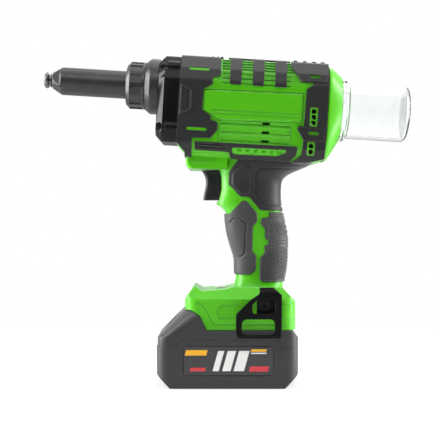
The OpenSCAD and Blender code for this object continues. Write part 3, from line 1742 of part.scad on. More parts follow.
// Each piece is drawn alone or all together
housing_left();
housing_right();
front_overmould();
rear_overmould();
top_guard();
side_strips();
upper_grip();
front_grip();
rear_grip();
rear_cap();
gear_case();
gear_case_screws();
nose_adapter();
nose_sleeve();
nosepiece();
housing_screws();
stator();
ring_gear();
nut_bearings();
motor_bearings();
guide_tube();
trigger_switch();
trigger_spring();
control_board();
terminal_block();
wiring();
light_lens();
belt_hook();
belt_hook_screw();
trigger();
mode_button();
collar_nut();
mandrel_cup();
cup_seal();
screw_nut();
nut_gear();
spindle();
jaw_case();
jaw_spring();
jaw(0);  // jaw_1
jaw(1);  // jaw_2
jaw(2);  // jaw_3
jaw_pusher();
rotor();
fan();
carrier();
planet(0);  // planet_1
planet(1);  // planet_2
planet(2);  // planet_3
battery_lower_case();
battery_upper_case();
battery_cells();
cell_holders();
cell_straps();
battery_board();
battery_terminals();
battery_screws();
latch_spring();
battery_latch();
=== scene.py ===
import math

import bmesh
import bpy
import numpy as np
from mathutils import Matrix, Vector
from mathutils.bvhtree import BVHTree


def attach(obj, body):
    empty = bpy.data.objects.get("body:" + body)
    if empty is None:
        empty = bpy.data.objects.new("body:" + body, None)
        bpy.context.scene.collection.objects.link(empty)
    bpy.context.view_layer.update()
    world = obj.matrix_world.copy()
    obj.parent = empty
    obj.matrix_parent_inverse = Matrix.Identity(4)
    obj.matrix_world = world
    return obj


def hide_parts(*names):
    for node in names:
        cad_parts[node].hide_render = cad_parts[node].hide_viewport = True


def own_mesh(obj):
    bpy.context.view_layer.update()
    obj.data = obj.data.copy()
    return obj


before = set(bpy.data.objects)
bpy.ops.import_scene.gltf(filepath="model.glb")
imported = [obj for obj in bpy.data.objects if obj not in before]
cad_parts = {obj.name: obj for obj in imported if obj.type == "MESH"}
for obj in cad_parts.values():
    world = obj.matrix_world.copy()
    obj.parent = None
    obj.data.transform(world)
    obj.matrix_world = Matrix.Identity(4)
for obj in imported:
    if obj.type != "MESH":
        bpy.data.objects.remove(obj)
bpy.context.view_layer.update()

# Studio: a pale floor that runs out into a white surround, soft boxes and bright strips on both
# sides, boxes above, in front and behind, and a long lens square on to the tool's side.
LENS_PLACE = (-0.0063, -0.880, 0.1423)
SENSOR = 36.0
FRAME_WIDTH = 0.3872
FLOOR_RADIUS, FLOOR_DROP = 0.9, 0.0004
WHITE_NEAR, WHITE_FROM, WHITE_TO = 0.62, 0.16, 0.55
SHEET_HALF, SHEET_BACK, SHEET_RISE = 8.0, 4.0, 7.9
SKY_DIM = 0.07


def srgb(red, green, blue):
    """A colour as read off a screen, as the linear colour that a shader takes."""
    def linear(c):
        c = c / 255
        return c / 12.92 if c <= 0.04045 else ((c + 0.055) / 1.055) ** 2.4
    return (linear(red), linear(green), linear(blue), 1.0)


def put_in_scene(name, bm, material=None, smooth=True):
    """The bmesh as an object of the scene, with its place in its mesh."""
    mesh = bpy.data.meshes.new(name)
    bm.to_mesh(mesh)
    bm.free()
    mesh.polygons.foreach_set("use_smooth", [smooth] * len(mesh.polygons))
    made = bpy.data.objects.new(name, mesh)
    bpy.context.scene.collection.objects.link(made)
    if material:
        mesh.materials.append(material)
    return made


class Finish:
    """A material with its Principled shader, and short ways to add nodes and links to it."""
    def __init__(self, name, **values):
        self.material = bpy.data.materials.new(name)
        self.material.use_nodes = True
        self.tree = self.material.node_tree
        self.shader = self.tree.nodes["Principled BSDF"]
        self.place = self.node("ShaderNodeTexCoord").outputs["Object"]
        for key, value in values.items():
            self.shader.inputs[key.replace("_", " ")].default_value = value

    def node(self, kind, **values):
        made = self.tree.nodes.new(kind)
        for key, value in values.items():
            if key[0].isupper():
                made.inputs[key.replace("_", " ")].default_value = value
            else:
                setattr(made, key, value)
        return made

    def link(self, out, into):
        self.tree.links.new(out, into if hasattr(into, "is_output") else self.shader.inputs[into])

    def noise(self, size, detail=2.0, stretch=None):
        """Noise with grains of a size in metres, drawn out by a stretch along each axis."""
        made = self.node("ShaderNodeTexNoise", Scale=1 / size, Detail=detail)
        place = self.place
        if stretch:
            drawn = self.node("ShaderNodeMapping", Scale=stretch)
            self.link(place, drawn.inputs["Vector"])
            place = drawn.outputs["Vector"]
        self.link(place, made.inputs["Vector"])
        return made.outputs["Fac"]

    def spread(self, value, low, high, start=0.3, end=0.7):
        """A value from start to end spread over low to high."""
        made = self.node("ShaderNodeMapRange")
        self.link(value, made.inputs["Value"])
        for key, number in (("From Min", start), ("From Max", end), ("To Min", low), ("To Max", high)):
            made.inputs[key].default_value = number
        return made.outputs["Result"]

    def mix(self, share, first, second):
        """Two colours, written or from a node, mixed by a share."""
        made = self.node("ShaderNodeMix", data_type="RGBA")
        self.link(share, made.inputs["Factor"])
        for key, value in (("A", first), ("B", second)):
            socket = [s for s in made.inputs if s.name == key and s.type == "RGBA"][0]
            if isinstance(value, tuple):
                socket.default_value = value
            else:
                self.link(value, socket)
        return [s for s in made.outputs if s.type == "RGBA"][0]

    def bump(self, height, depth, eased=0.0004):
        """A fine relief over the surface, on edges eased by a small radius."""
        made = self.node("ShaderNodeBump", Strength=1.0, Distance=depth)
        self.link(height, made.inputs["Height"])
        near = self.node("ShaderNodeBevel", samples=4, Radius=eased)
        self.link(near.outputs["Normal"], made.inputs["Normal"])
        return made.outputs["Normal"]

    def edges(self, reach):
        """How near an edge is: nought on the flat, rising to one on the edge itself."""
        near = self.node("ShaderNodeBevel", samples=4, Radius=reach)
        true = self.node("ShaderNodeNewGeometry")
        turn = self.node("ShaderNodeVectorMath", operation="DOT_PRODUCT")
        self.link(near.outputs["Normal"], turn.inputs[0])
        self.link(true.outputs["Normal"], turn.inputs[1])
        return self.spread(turn.outputs["Value"], 1.0, 0.0, 0.75, 0.985)


view = bpy.data.cameras.new("view")
view.sensor_width = SENSOR
view.lens = SENSOR * -LENS_PLACE[1] / FRAME_WIDTH
view.clip_start = 0.01
camera = bpy.data.objects.new("view", view)
camera.location = LENS_PLACE
camera.rotation_euler = (math.radians(90), 0, 0)
bpy.context.scene.collection.objects.link(camera)
bpy.context.scene.camera = camera


def pale_finish(name, cloud):
    """A matt pale surface with faint clouds of a size in metres."""
    made = Finish(name, Roughness=0.9, Specular_IOR_Level=0.1)
    clouds = made.spread(made.noise(cloud), 0, 1)
    made.link(made.mix(clouds, srgb(238, 238, 238), srgb(243, 243, 243)), "Base Color")
    return made


def white_when_seen(finish, share=None):
    """Shows a surface as plain white, or by a share, where the lens, a gloss or clear plastic sees it."""
    path = finish.node("ShaderNodeLightPath")
    seen = path.outputs["Is Camera Ray"]
    for ray in ("Is Glossy Ray", "Is Transmission Ray"):
        either = finish.node("ShaderNodeMath", operation="MAXIMUM")
        finish.link(seen, either.inputs[0])
        finish.link(path.outputs[ray], either.inputs[1])
        seen = either.outputs[0]
    if share is not None:
        amount = finish.node("ShaderNodeMath", operation="MULTIPLY")
        finish.link(seen, amount.inputs[0])
        finish.link(share, amount.inputs[1])
        seen = amount.outputs[0]
    blend = finish.node("ShaderNodeMixShader")
    finish.link(seen, blend.inputs[0])
    finish.link(finish.shader.outputs[0], blend.inputs[1])
    finish.link(finish.node("ShaderNodeEmission", Strength=1.0).outputs[0], blend.inputs[2])
    finish.link(blend.outputs[0], finish.tree.nodes["Material Output"].inputs["Surface"])


pale_floor = pale_finish("pale_floor", 0.4)
away = pale_floor.node("ShaderNodeVectorMath", operation="LENGTH")
pale_floor.link(pale_floor.place, away.inputs[0])
white_when_seen(pale_floor, pale_floor.spread(away.outputs["Value"], WHITE_NEAR, 1.0, WHITE_FROM, WHITE_TO))
floor_bm = bmesh.new()
bmesh.ops.create_circle(floor_bm, cap_ends=True, segments=64, radius=FLOOR_RADIUS)
bmesh.ops.translate(floor_bm, vec=(0, 0, -FLOOR_DROP), verts=floor_bm.verts)
put_in_scene("floor", floor_bm, pale_floor.material, smooth=False)

pale_sheet = pale_finish("pale_sheet", 0.6)
white_when_seen(pale_sheet)
sheet_bm = bmesh.new()
hung = Matrix.Translation((0, SHEET_BACK, SHEET_RISE)) @ Matrix.Rotation(math.radians(90), 4, "X")
bmesh.ops.create_grid(sheet_bm, x_segments=8, y_segments=8, size=SHEET_HALF, matrix=hung)
put_in_scene("backdrop", sheet_bm, pale_sheet.material, smooth=False)

surround = bpy.data.worlds.new("surround")
bpy.context.scene.world = surround
surround.use_nodes = True
sky = surround.node_tree
sky_path = sky.nodes.new("ShaderNodeLightPath")
sky_seen = sky.nodes.new("ShaderNodeMath")
sky_seen.operation = "MAXIMUM"
sky.links.new(sky_path.outputs["Is Camera Ray"], sky_seen.inputs[0])
sky.links.new(sky_path.outputs["Is Transmission Ray"], sky_seen.inputs[1])
sky_level = sky.nodes.new("ShaderNodeMapRange")
sky_level.inputs["To Min"].default_value = SKY_DIM
sky_level.inputs["To Max"].default_value = 1.0
sky.links.new(sky_seen.outputs[0], sky_level.inputs["Value"])
sky.links.new(sky_level.outputs["Result"], sky.nodes["Background"].inputs["Strength"])
sky.nodes["Background"].inputs["Color"].default_value = (1, 1, 1, 1)


def soft_box(name, place, width, height, watts):
    """A large soft lamp aimed at the middle of the tool."""
    lamp = bpy.data.lights.new(name, "AREA")
    lamp.shape = "RECTANGLE"
    lamp.size = width
    lamp.size_y = height
    lamp.energy = watts
    made = bpy.data.objects.new(name, lamp)
    made.location = place
    aim = Vector((0, 0, 0.15)) - Vector(place)
    made.rotation_euler = aim.to_track_quat("-Z", "Y").to_euler()
    bpy.context.scene.collection.objects.link(made)


soft_box("left_box", (-1.0, 0.0, 0.36), 0.4, 1.0, 22)
soft_box("right_box", (1.0, 0.0, 0.36), 0.4, 1.0, 22)
soft_box("left_strip", (-1.0, -0.40, 0.25), 0.25, 1.1, 3)
soft_box("right_strip", (1.0, -0.40, 0.25), 0.25, 1.1, 3)
soft_box("top_box", (0, 0.05, 1.25), 1.0, 0.9, 7)
soft_box("front_box", (-0.3, -1.0, 1.15), 0.8, 0.5, 6)
soft_box("back_box", (0.3, 1.1, 1.15), 0.8, 0.5, 6)
bpy.context.scene.view_settings.view_transform = "Standard"

# Housing: two shells of glass-filled nylon, moulded in green and screwed together on the middle
# plane. The side panel stands proud with a broad bevel over a band of three slanted slats, and the
# foot has a sunk panel and grooves.
BARREL = Matrix.Translation((0, 0, 0.2556)) @ Matrix.Rotation(math.radians(3.5), 4, "Y")
UPRIGHT = Matrix.Identity(4)


def moulded(name, colour, rough, grain, depth, wear=0.2, **values):
    """A moulded or coated finish: mottled colour, a grained surface, and paler rubbed edges."""
    f = Finish(name, **values)
    deep = tuple(c * 0.93 for c in colour[:3]) + (1.0,)
    rubbed = tuple(c + (1 - c) * 0.25 for c in colour[:3]) + (1.0,)
    tone = f.mix(f.spread(f.noise(0.025, 4), 0, 1), colour, deep)
    scuffed = f.spread(f.noise(0.004, 3), 0.4, 1.0)
    worn = f.node("ShaderNodeMath", operation="MULTIPLY")
    f.link(f.spread(f.edges(0.0006), 0, wear, 0, 1), worn.inputs[0])
    f.link(scuffed, worn.inputs[1])
    f.link(f.mix(worn.outputs[0], tone, rubbed), "Base Color")
    fine = f.noise(grain, 3)
    f.link(f.spread(fine, rough - 0.06, rough + 0.08), "Roughness")
    f.link(f.bump(fine, depth), "Normal")
    return f.material


def cad_copy(node):
    """A CAD node's mesh as one merged surface, its flat faces whole."""
    bm = bmesh.new()
    bm.from_mesh(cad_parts[node].data)
    bmesh.ops.remove_doubles(bm, verts=bm.verts, dist=2e-6)
    bmesh.ops.dissolve_limit(bm, angle_limit=math.radians(1.0), verts=bm.verts, edges=bm.edges)
    return bm


LAST_TRY = 9


def spoilt(bm, true, width):
    """Places where a rounded surface folds over itself or leaves the surface that it came from."""
    bm.normal_update()
    places = []
    for corners in bm.calc_loop_triangles():
        a, b, c = [corner.vert.co for corner in corners]
        across = (b - a).cross(c - a)
        if across.length > 1e-11 and across.dot(corners[0].face.normal) < 0.2 * across.length:
            places += [a.copy(), b.copy(), c.copy()]
    for v in bm.verts:
        near = true.find_nearest(v.co, 1.2 * width)
        if near[0] is None:
            places.append(v.co.copy())
    return places


def round_edges(bm, width, angle=28.0, segments=2, chosen=None):
    """Rounds the edges that turn by more than an angle, or those of them that a test picks.

    Where the rounding folds a face, it is tried again without the edges near that place."""
    sharp_mesh = bpy.data.meshes.new("sharp")
    bm.to_mesh(sharp_mesh)
    true = BVHTree.FromBMesh(bm)
    known = {tuple(round(c, 6) for c in p) for p in spoilt(bm, true, width)}
    barred = []
    for attempt in range(LAST_TRY + 1):
        picked = [e for e in bm.edges if e.is_manifold and e.calc_face_angle() > math.radians(angle)]
        if chosen:
            picked = [e for e in picked if chosen(e)]
        reach = width * (2.5 + 2.5 * attempt)
        picked = [e for e in picked if not any((v.co - p).length < reach for v in e.verts for p in barred)]
        if attempt == LAST_TRY:
            picked = []
        bmesh.ops.bevel(bm, geom=picked, offset=width, offset_type="OFFSET", affect="EDGES",
                        segments=segments, profile=0.5, material=-1, clamp_overlap=False)
        bad = [p for p in spoilt(bm, true, width) if tuple(round(c, 6) for c in p) not in known]
        if not bad:
            break
        barred += bad
        bm.clear()
        bm.from_mesh(sharp_mesh)
    bpy.data.meshes.remove(sharp_mesh)


def block(bm, corners, depth):
    """Adds a block: a flat face through some corners, drawn out by a vector."""
    face = bm.faces.new([bm.verts.new(corner) for corner in corners])
    drawn = bmesh.ops.extrude_face_region(bm, geom=[face])
    bmesh.ops.translate(bm, vec=depth, verts=[v for v in drawn["geom"] if isinstance(v, bmesh.types.BMVert)])
    bmesh.ops.recalc_face_normals(bm, faces=bm.faces)


def prism(bm, outline, low, high, place=UPRIGHT, sides=(-1, 1)):
    """Adds a block on each flank: an outline seen from the side, from one half width to another."""
    for side in sides:
        block(bm, [place @ Vector((x, side * low, z)) for x, z in outline], (0, side * (high - low), 0))


def strip(points, width):
    """A broken line drawn to a width, as a closed outline."""
    left, right = [], []
    for i, point in enumerate(points):
        before = Vector(points[max(i - 1, 0)])
        after = Vector(points[min(i + 1, len(points) - 1)])
        here = Vector(point)
        first = (here - before).normalized() if i else (after - here).normalized()
        last = (after - here).normalized() if i < len(points) - 1 else first
        side = Vector((-first.y - last.y, first.x + last.x)).normalized()
        reach = width / 2 / max(0.5, side.dot(Vector((-first.y, first.x))))
        left.append(here + side * reach)
        right.append(here - side * reach)
    return [tuple(p) for p in left + right[::-1]]


def oblong(x, z, length, height, lean=0.0):
    """A four-cornered outline about its middle, leaning forward by a length."""
    return [(x - length / 2, z - height / 2), (x + length / 2, z - height / 2),
            (x + length / 2 + lean, z + height / 2), (x - length / 2 + lean, z + height / 2)]


def carved(bm, cutter, operation="DIFFERENCE"):
    """A surface with a cutter's blocks taken out of it, joined to it, or kept only inside them."""
    body = put_in_scene("carving", bm)
    tool = put_in_scene("cutter", cutter)
    cut = body.modifiers.new("cut", "BOOLEAN")
    cut.operation = operation
    cut.object = tool
    cut.solver = "EXACT"
    done = bmesh.new()
    done.from_object(body, bpy.context.evaluated_depsgraph_get())
    for scrap in (body, tool):
        bpy.data.objects.remove(scrap)
    bmesh.ops.remove_doubles(done, verts=done.verts, dist=2e-6)
    bmesh.ops.dissolve_limit(done, angle_limit=math.radians(1.0), verts=done.verts, edges=done.edges)
    return done


def piece(name, bm, material, body, slot, *nodes):
    """A finished piece: even shading, the body that carries it, and the nodes it stands for."""
    for edge in bm.edges:
        edge.smooth = not edge.is_manifold or edge.calc_face_angle() < math.radians(38)
    made = put_in_scene(name, bm, material)
    made.modifiers.new("even", "WEIGHTED_NORMAL").keep_sharp = True
    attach(made, body)
    if nodes:
        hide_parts(*nodes)
    return made


def window_corner(edge):
    """Corner edges of the inlay bars, the outlet rims and their holes, seen from the side."""
    first, last = [BARREL.inverted() @ v.co for v in edge.verts]
    if abs(first.y - last.y) < 2 * CORNER_FIT or math.hypot(first.x - last.x, first.z - last.z) > CORNER_FIT:
        return False
    return any(abs(abs(first.x - x) - length / 2) < CORNER_FIT
               and abs(abs(first.z - z) - height / 2) < CORNER_FIT for x, z, length, height in WINDOWS)


def chin_front(edge):
    """Edges round the front of the chin, over the trigger."""
    return all(v.co.x < -0.0325 and 0.0225 < abs(v.co.y) < 0.0235 and 0.186 < v.co.z < 0.2065
               for v in edge.verts)


def grown(points, distance):
    """An outline that runs anticlockwise, moved outwards by a distance with its corners kept sharp."""
    moved = []
    for before, here, after in zip(points[-1:] + points[:-1], points, points[1:] + points[:1]):
        first = (Vector(here) - Vector(before)).normalized()
        last = (Vector(after) - Vector(here)).normalized()
        out = Vector((first.y + last.y, -first.x - last.x)).normalized()
        moved.append(tuple(Vector(here) + out * distance / out.dot(Vector((first.y, -first.x)))))
    return moved


def edge_cutter(bm, outline, section, place):
    """Adds a ring that runs round an outline on both flanks, with a section of reach and half width."""
    for side in (-1, 1):
        loops = []
        for reach, half in section:
            points = [bm.verts.new(place @ Vector((x, side * half, z))) for x, z in grown(outline, reach)]
            loops.append([bm.edges.new((a, b)) for a, b in zip(points, points[1:] + points[:1])])
        for first, second in zip(loops, loops[1:] + loops[:1]):
            bmesh.ops.bridge_loops(bm, edges=first + second)
    bmesh.ops.recalc_face_normals(bm, faces=bm.faces)


green_shell = moulded("green_shell", srgb(77, 180, 6), 0.33, 0.0005, 0.00002, wear=0.4,
                      Specular_IOR_Level=0.32, Sheen_Weight=0.10)
FLANK_CLEAR, FOOT_CLEAR = 0.0360, 0.0380
SIDE_PANEL = [(-0.01962, -0.00436), (-0.01962, -0.02120), (-0.00975, -0.02702), (-0.00278, -0.02864),
              (0.06482, -0.02702), (0.06495, -0.00257), (-0.01456, -0.00368)]
PANEL_BEVEL = [(-0.0014, 0.03408), (0.0006, 0.03408), (0.0006, 0.0323), (0.0000, 0.0323), (0.0000, 0.03298)]
HEEL_LINES, LINE_HEIGHT, LINE_DEPTH = (0.0709, 0.0587, 0.0532), 0.0008, 0.0006
HEEL, HEEL_HALF, HEEL_ROUND = 0.0580, 0.0360, 0.0110
LINE_ROUND = HEEL_ROUND - LINE_DEPTH
HEEL_CUT = [(0.046, 0.040), (0.046, HEEL_HALF - LINE_DEPTH)]
HEEL_CUT += [(HEEL - HEEL_ROUND + LINE_ROUND * math.cos(math.radians(90 - 9 * k)),
              HEEL_HALF - HEEL_ROUND + LINE_ROUND * math.sin(math.radians(90 - 9 * k))) for k in range(11)]
HEEL_CUT += [(x, -y) for x, y in HEEL_CUT[:0:-1]] + [(0.046, -0.040), (0.062, -0.040), (0.062, 0.040)]
INLAYS = [(-0.02454, 0.01387, 0.017, 0.0026), (-0.02391, -0.03769, 0.017, 0.0026),
          (0.07438, 0.01284, 0.009, 0.0026), (0.07527, -0.03572, 0.009, 0.0026)]
OUTLETS = [(0.07444, -0.02180, 3), (0.07368, -0.04874, 2)]
HOLE, HOLE_PITCH, RIM = 0.0039, 0.0049, 0.0013
CORNER_ROUND, CORNER_FIT = 0.0011, 0.0002
WINDOWS = INLAYS + [(x, z, HOLE + 2 * RIM, (n - 1) * HOLE_PITCH + HOLE + 2 * RIM) for x, z, n in OUTLETS]
WINDOWS += [(x, z + (k - (n - 1) / 2) * HOLE_PITCH, HOLE, HOLE) for x, z, n in OUTLETS for k in range(n)]
CHIN_RIB, CHIN_ROUND = oblong(-0.0208, 0.1920, 0.0190, 0.0018), 0.0030
CHIN_SEAT, CHIN_FACE = 0.0215, 0.0237
FOOT_PANEL_FLOOR, FOOT_GROOVE_FLOOR, FOOT_GROOVE_WIDTH = 0.0351, 0.0353, 0.0011
FOOT_PANEL = [(-0.0055, 0.0706), (-0.0097, 0.0655), (-0.0071, 0.0587),
              (0.0365, 0.0587), (0.0395, 0.0655), (0.0365, 0.0706)]
FOOT_GROOVE = [(-0.0275, 0.0718), (-0.0223, 0.0714), (-0.0190, 0.0680), (-0.0114, 0.0537), (0.0470, 0.0537)]
PANEL_GROOVES = [(oblong(0.0265, z, 0.078, 0.0009), 0.0335) for z in (-0.0205, -0.0235)]
STRAP_GROOVES = [(oblong(0.0245, z, 0.058, 0.0011), floor)
                 for z, floor in ((0.0113, 0.0290), (0.0071, 0.0306), (0.0029, 0.0321))]
BAND_ENDS = [(oblong(x, z, 0.0009, 0.0180), 0.0324) for x, z in ((-0.0055, -0.0388), (0.0560, -0.0352))]
STRIPE_MARKS = [(oblong(x, -0.0534, 0.0036, 0.0024), 0.0310)
                for x in (0.0055, 0.0135, 0.0205, 0.0270, 0.0340, 0.0410, 0.0470)]
LOUVRE_FROM, LOUVRE_TO = -0.0033, 0.0552
LOUVRES = [(0.0345, -0.0289), (0.0325, -0.0289), (0.0319, -0.0307), (0.0311, -0.0307), (0.0311, -0.0315),
           (0.0317, -0.0315), (0.0329, -0.0329), (0.0323, -0.0339), (0.0317, -0.0381), (0.0311, -0.0381),
           (0.0311, -0.0389), (0.0317, -0.0389), (0.0329, -0.0404), (0.0323, -0.0414), (0.0317, -0.0455),
           (0.0311, -0.0455), (0.0311, -0.0463), (0.0317, -0.0463), (0.0329, -0.0475), (0.0345, -0.0475)]
LOUVRE_FILL, FILL_SEAT, FILL_FACE = oblong(0.02646, -0.0383, 0.0604, 0.0168), 0.0310, 0.03295
AIR_SLOTS = [oblong(0.03457, z, 0.0065, 0.0021) for z in (-0.02969, -0.03719, -0.04469)]
SLOT_INSIDE, SLOT_OUTSIDE = 0.0300, 0.0345
for shell, flank in (("housing_left", -1), ("housing_right", 1)):
    fill_bm = bmesh.new()
    prism(fill_bm, LOUVRE_FILL, FILL_SEAT, FILL_FACE, BARREL, sides=(flank,))
    shell_bm = carved(cad_copy(shell), fill_bm, "UNION")
    slats_bm = bmesh.new()
    block(slats_bm, [BARREL @ Vector((LOUVRE_FROM, flank * half, z)) for half, z in LOUVRES],
          BARREL.to_3x3() @ Vector((LOUVRE_TO - LOUVRE_FROM, 0, 0)))
    shell_bm = carved(shell_bm, slats_bm)
    slots_bm = bmesh.new()
    for slot in AIR_SLOTS:
        prism(slots_bm, slot, SLOT_INSIDE, SLOT_OUTSIDE, BARREL, sides=(flank,))
    shell_bm = carved(shell_bm, slots_bm)
    grooves_bm = bmesh.new()
    prism(grooves_bm, FOOT_PANEL, FOOT_PANEL_FLOOR, FOOT_CLEAR)
    prism(grooves_bm, strip(FOOT_GROOVE, FOOT_GROOVE_WIDTH), FOOT_GROOVE_FLOOR, FOOT_CLEAR)
    for outline, floor in PANEL_GROOVES + STRAP_GROOVES + BAND_ENDS + STRIPE_MARKS:
        prism(grooves_bm, outline, floor, FLANK_CLEAR, BARREL)
    shell_bm = carved(shell_bm, grooves_bm)
    lines_bm = bmesh.new()
    edge_cutter(lines_bm, SIDE_PANEL, PANEL_BEVEL, BARREL)
    for level in HEEL_LINES:
        block(lines_bm, [(x, y, level) for x, y in HEEL_CUT], (0, 0, LINE_HEIGHT))
    shell_bm = carved(shell_bm, lines_bm)
    rib_bm = bmesh.new()
    prism(rib_bm, CHIN_RIB, CHIN_SEAT, CHIN_FACE, sides=(flank,))
    shell_bm = carved(shell_bm, rib_bm, "UNION")
    round_edges(shell_bm, CORNER_ROUND, segments=4, chosen=window_corner)
    round_edges(shell_bm, CHIN_ROUND, segments=5, chosen=chin_front)
    piece(shell + "_moulding", shell_bm, green_shell, "tool", "shell_green", shell)

# Overmoulds: soft dark elastomer moulded onto the shells in a second shot. The pads wrap the front
# and rear of the body, a guard with three straps crosses the crown, and a strip runs under each flank.
soft_rubber = moulded("soft_rubber", srgb(33, 33, 34), 0.50, 0.00035, 0.00004, wear=0.55,
                      Specular_IOR_Level=0.3, Sheen_Weight=0.12)
CROWN = 0.0270
BOSS_HALF, BOSS_LOW, BOSS_HIGH, BOSS_FRONT, BOSS_REAR = 0.0354, -0.028, 0.002, -0.041, -0.028
BOSS_STEPS = ((0.0010, 0), (0.0004, -0.0009), (0.0011, 0), (0.0004, 0.0006))
STRIP_SLOTS = ((-0.0502, 0.0329), (-0.0527, 0.0316))


def half_rounds(bm, stations, level, half, radius):
    """Adds rounded ribs that run across the crown from side to side."""
    across = Matrix.Rotation(math.radians(90), 4, "X")
    for station in stations:
        place = BARREL @ Matrix.Translation((station, 0, level)) @ across
        made = bmesh.ops.create_cone(bm, cap_ends=True, segments=20, radius1=radius, radius2=radius,
                                     depth=2 * half, matrix=place)
        ends = [e for v in made["verts"] for e in v.link_edges if len(e.link_faces) == 2]
        ends = [e for e in set(ends) if e.calc_face_angle() > 1.0]
        bmesh.ops.bevel(bm, geom=ends, offset=radius * 0.5, offset_type="OFFSET", affect="EDGES",
                        segments=3, profile=0.5, material=-1)


def on_boss(face):
    """The flat front of the boss on each side of the front pad."""
    middle = BARREL.inverted() @ face.calc_center_median()
    level = abs(abs(middle.y) - BOSS_HALF) < 0.00012 and abs(face.normal.y) > 0.9
    return level and BOSS_LOW < middle.z < BOSS_HIGH and BOSS_FRONT < middle.x < BOSS_REAR


front_bm = cad_copy("front_overmould")
bosses = [f for f in front_bm.faces if on_boss(f)]
for inset, rise in BOSS_STEPS:
    bmesh.ops.inset_region(front_bm, faces=bosses, thickness=inset, depth=rise, use_even_offset=True)
round_edges(front_bm, CORNER_ROUND, segments=4, chosen=window_corner)
round_edges(front_bm, 0.0004)
half_rounds(front_bm, (-0.0135, -0.0097, -0.0059), CROWN - 0.0004, 0.0150, 0.0011)
piece("front_pad", front_bm, soft_rubber, "tool", "rubber_dark", "front_overmould")

rear_bm = cad_copy("rear_overmould")
round_edges(rear_bm, CORNER_ROUND, segments=4, chosen=window_corner)
round_edges(rear_bm, 0.0005)
half_rounds(rear_bm, (0.0575, 0.0655, 0.0735, 0.0810), CROWN - 0.0013, 0.0155, 0.0027)
piece("rear_pad", rear_bm, soft_rubber, "tool", "rubber_dark", "rear_overmould")

guard_bm = cad_copy("top_guard")
round_edges(guard_bm, 0.0008, segments=3)
piece("crown_guard", guard_bm, soft_rubber, "tool", "rubber_dark", "top_guard")

slots_bm = bmesh.new()
for level, floor in STRIP_SLOTS:
    prism(slots_bm, oblong(-0.0115, level, 0.0270, 0.0012), floor, FLANK_CLEAR, BARREL)
strip_bm = carved(cad_copy("side_strips"), slots_bm)
round_edges(strip_bm, 0.0003)
piece("flank_strips", strip_bm, soft_rubber, "tool", "rubber_dark", "side_strips")

# Grips: three soft pads moulded over the handle, one under the body, one round the front and one
# round the rear. Each follows the handle's own section, rolls off at its rim, and has grooves or ribs.
FOOT_LENGTH, FOOT_BOTTOM, GRIP_RISE, HANDLE_HALF = 0.0942, 0.0492, 0.2064, 0.026
GRIP_THICK, GRIP_TOP = 0.0015, 0.722
RIM_REACH, RIM_DROP, RIM_SINK = 0.0009, 0.0006, 0.0022
LEVELS = [0.140, 0.165, 0.182, 0.204, 0.236, 0.290, 0.343, 0.396, 0.450, 0.484, 0.503, 0.517, 0.537,
          0.580, 0.622, 0.639, 0.656, 0.669, 0.682, 0.701, 0.726]
FRONTS = [0.040, 0.050, 0.066, 0.081, 0.077, 0.076, 0.038, 0.006, -0.011, -0.013, -0.049, -0.100, -0.094,
          -0.071, -0.071, -0.076, -0.085, -0.096, -0.106, -0.106, -0.106]
REARS = [0.530, 0.518, 0.516, 0.524, 0.540, 0.552, 0.553, 0.550, 0.523, 0.504, 0.497, 0.490, 0.484,
         0.484, 0.492, 0.531, 0.605, 0.680, 0.760, 0.810, 0.810]
WIDTHS = [0.860, 0.770, 0.700, 0.660, 0.638, 0.638, 0.654, 0.677, 0.692, 0.700, 0.708, 0.715, 0.723,
          0.738, 0.769, 0.808, 0.846, 0.885, 0.923, 0.962, 1.000]
ROUNDNESS = 2 / 2.6
UPPER = [(0.116, 0.716), (0.011, 0.651), (0.006, 0.601), (0.116, 0.549), (0.197, 0.549), (0.308, 0.491),
         (0.743, 0.488), (1.062, 0.755), (0.637, 0.755), (0.127, 0.755)]
FRONT = [(0.130, 0.528), (0.175, 0.531), (0.272, 0.480), (0.276, 0.447), (0.230, 0.422), (0.226, 0.322),
         (0.262, 0.301), (0.258, 0.242), (0.212, 0.223), (-0.127, 0.226), (-0.127, 0.479), (0.024, 0.479)]
REAR = [(0.391, 0.484), (0.391, 0.462), (0.317, 0.459), (0.308, 0.435), (0.349, 0.413), (0.349, 0.372),
        (0.381, 0.368), (0.381, 0.347), (0.345, 0.343), (0.345, 0.313), (0.299, 0.292), (0.294, 0.204),
        (0.322, 0.192), (0.701, 0.190), (0.701, 0.484)]


def on_grip(shares):
    """Points seen from the side, given as shares of the foot's length and of the handle's rise."""
    return [(x * FOOT_LENGTH, FOOT_BOTTOM + z * GRIP_RISE) for x, z in shares]


def eased(height, values):
    """A handle measure at a height, its bends eased over a few millimetres."""
    levels = FOOT_BOTTOM + np.array(LEVELS) * GRIP_RISE
    near = height + np.array([-0.003, -0.0015, 0, 0.0015, 0.003])
    return float(np.interp(near, levels, values).mean())


def section(height, grow, turn):
    """Points of the handle's section at a height: turn 0 is its rear, pi its front."""
    front = eased(height, FRONTS) * FOOT_LENGTH - grow
    rear = eased(height, REARS) * FOOT_LENGTH + grow
    half = eased(height, WIDTHS) * HANDLE_HALF + grow
    c, s = np.cos(turn), np.sin(turn)
    x = (front + rear) / 2 + (rear - front) / 2 * np.sign(c) * np.abs(c) ** ROUNDNESS
    return x, half * np.abs(s) ** ROUNDNESS


def away_from(line, x, z, closed=False):
    """How far points lie from a broken line, seen from the side."""
    ends = line + line[:1] if closed else line
    best = np.full(np.shape(x), 9.0)
    for (ax, az), (bx, bz) in zip(ends[:-1], ends[1:]):
        dx, dz = bx - ax, bz - az
        t = np.clip(((x - ax) * dx + (z - az) * dz) / (dx * dx + dz * dz), 0, 1)
        best = np.minimum(best, np.hypot(x - ax - t * dx, z - az - t * dz))
    return best


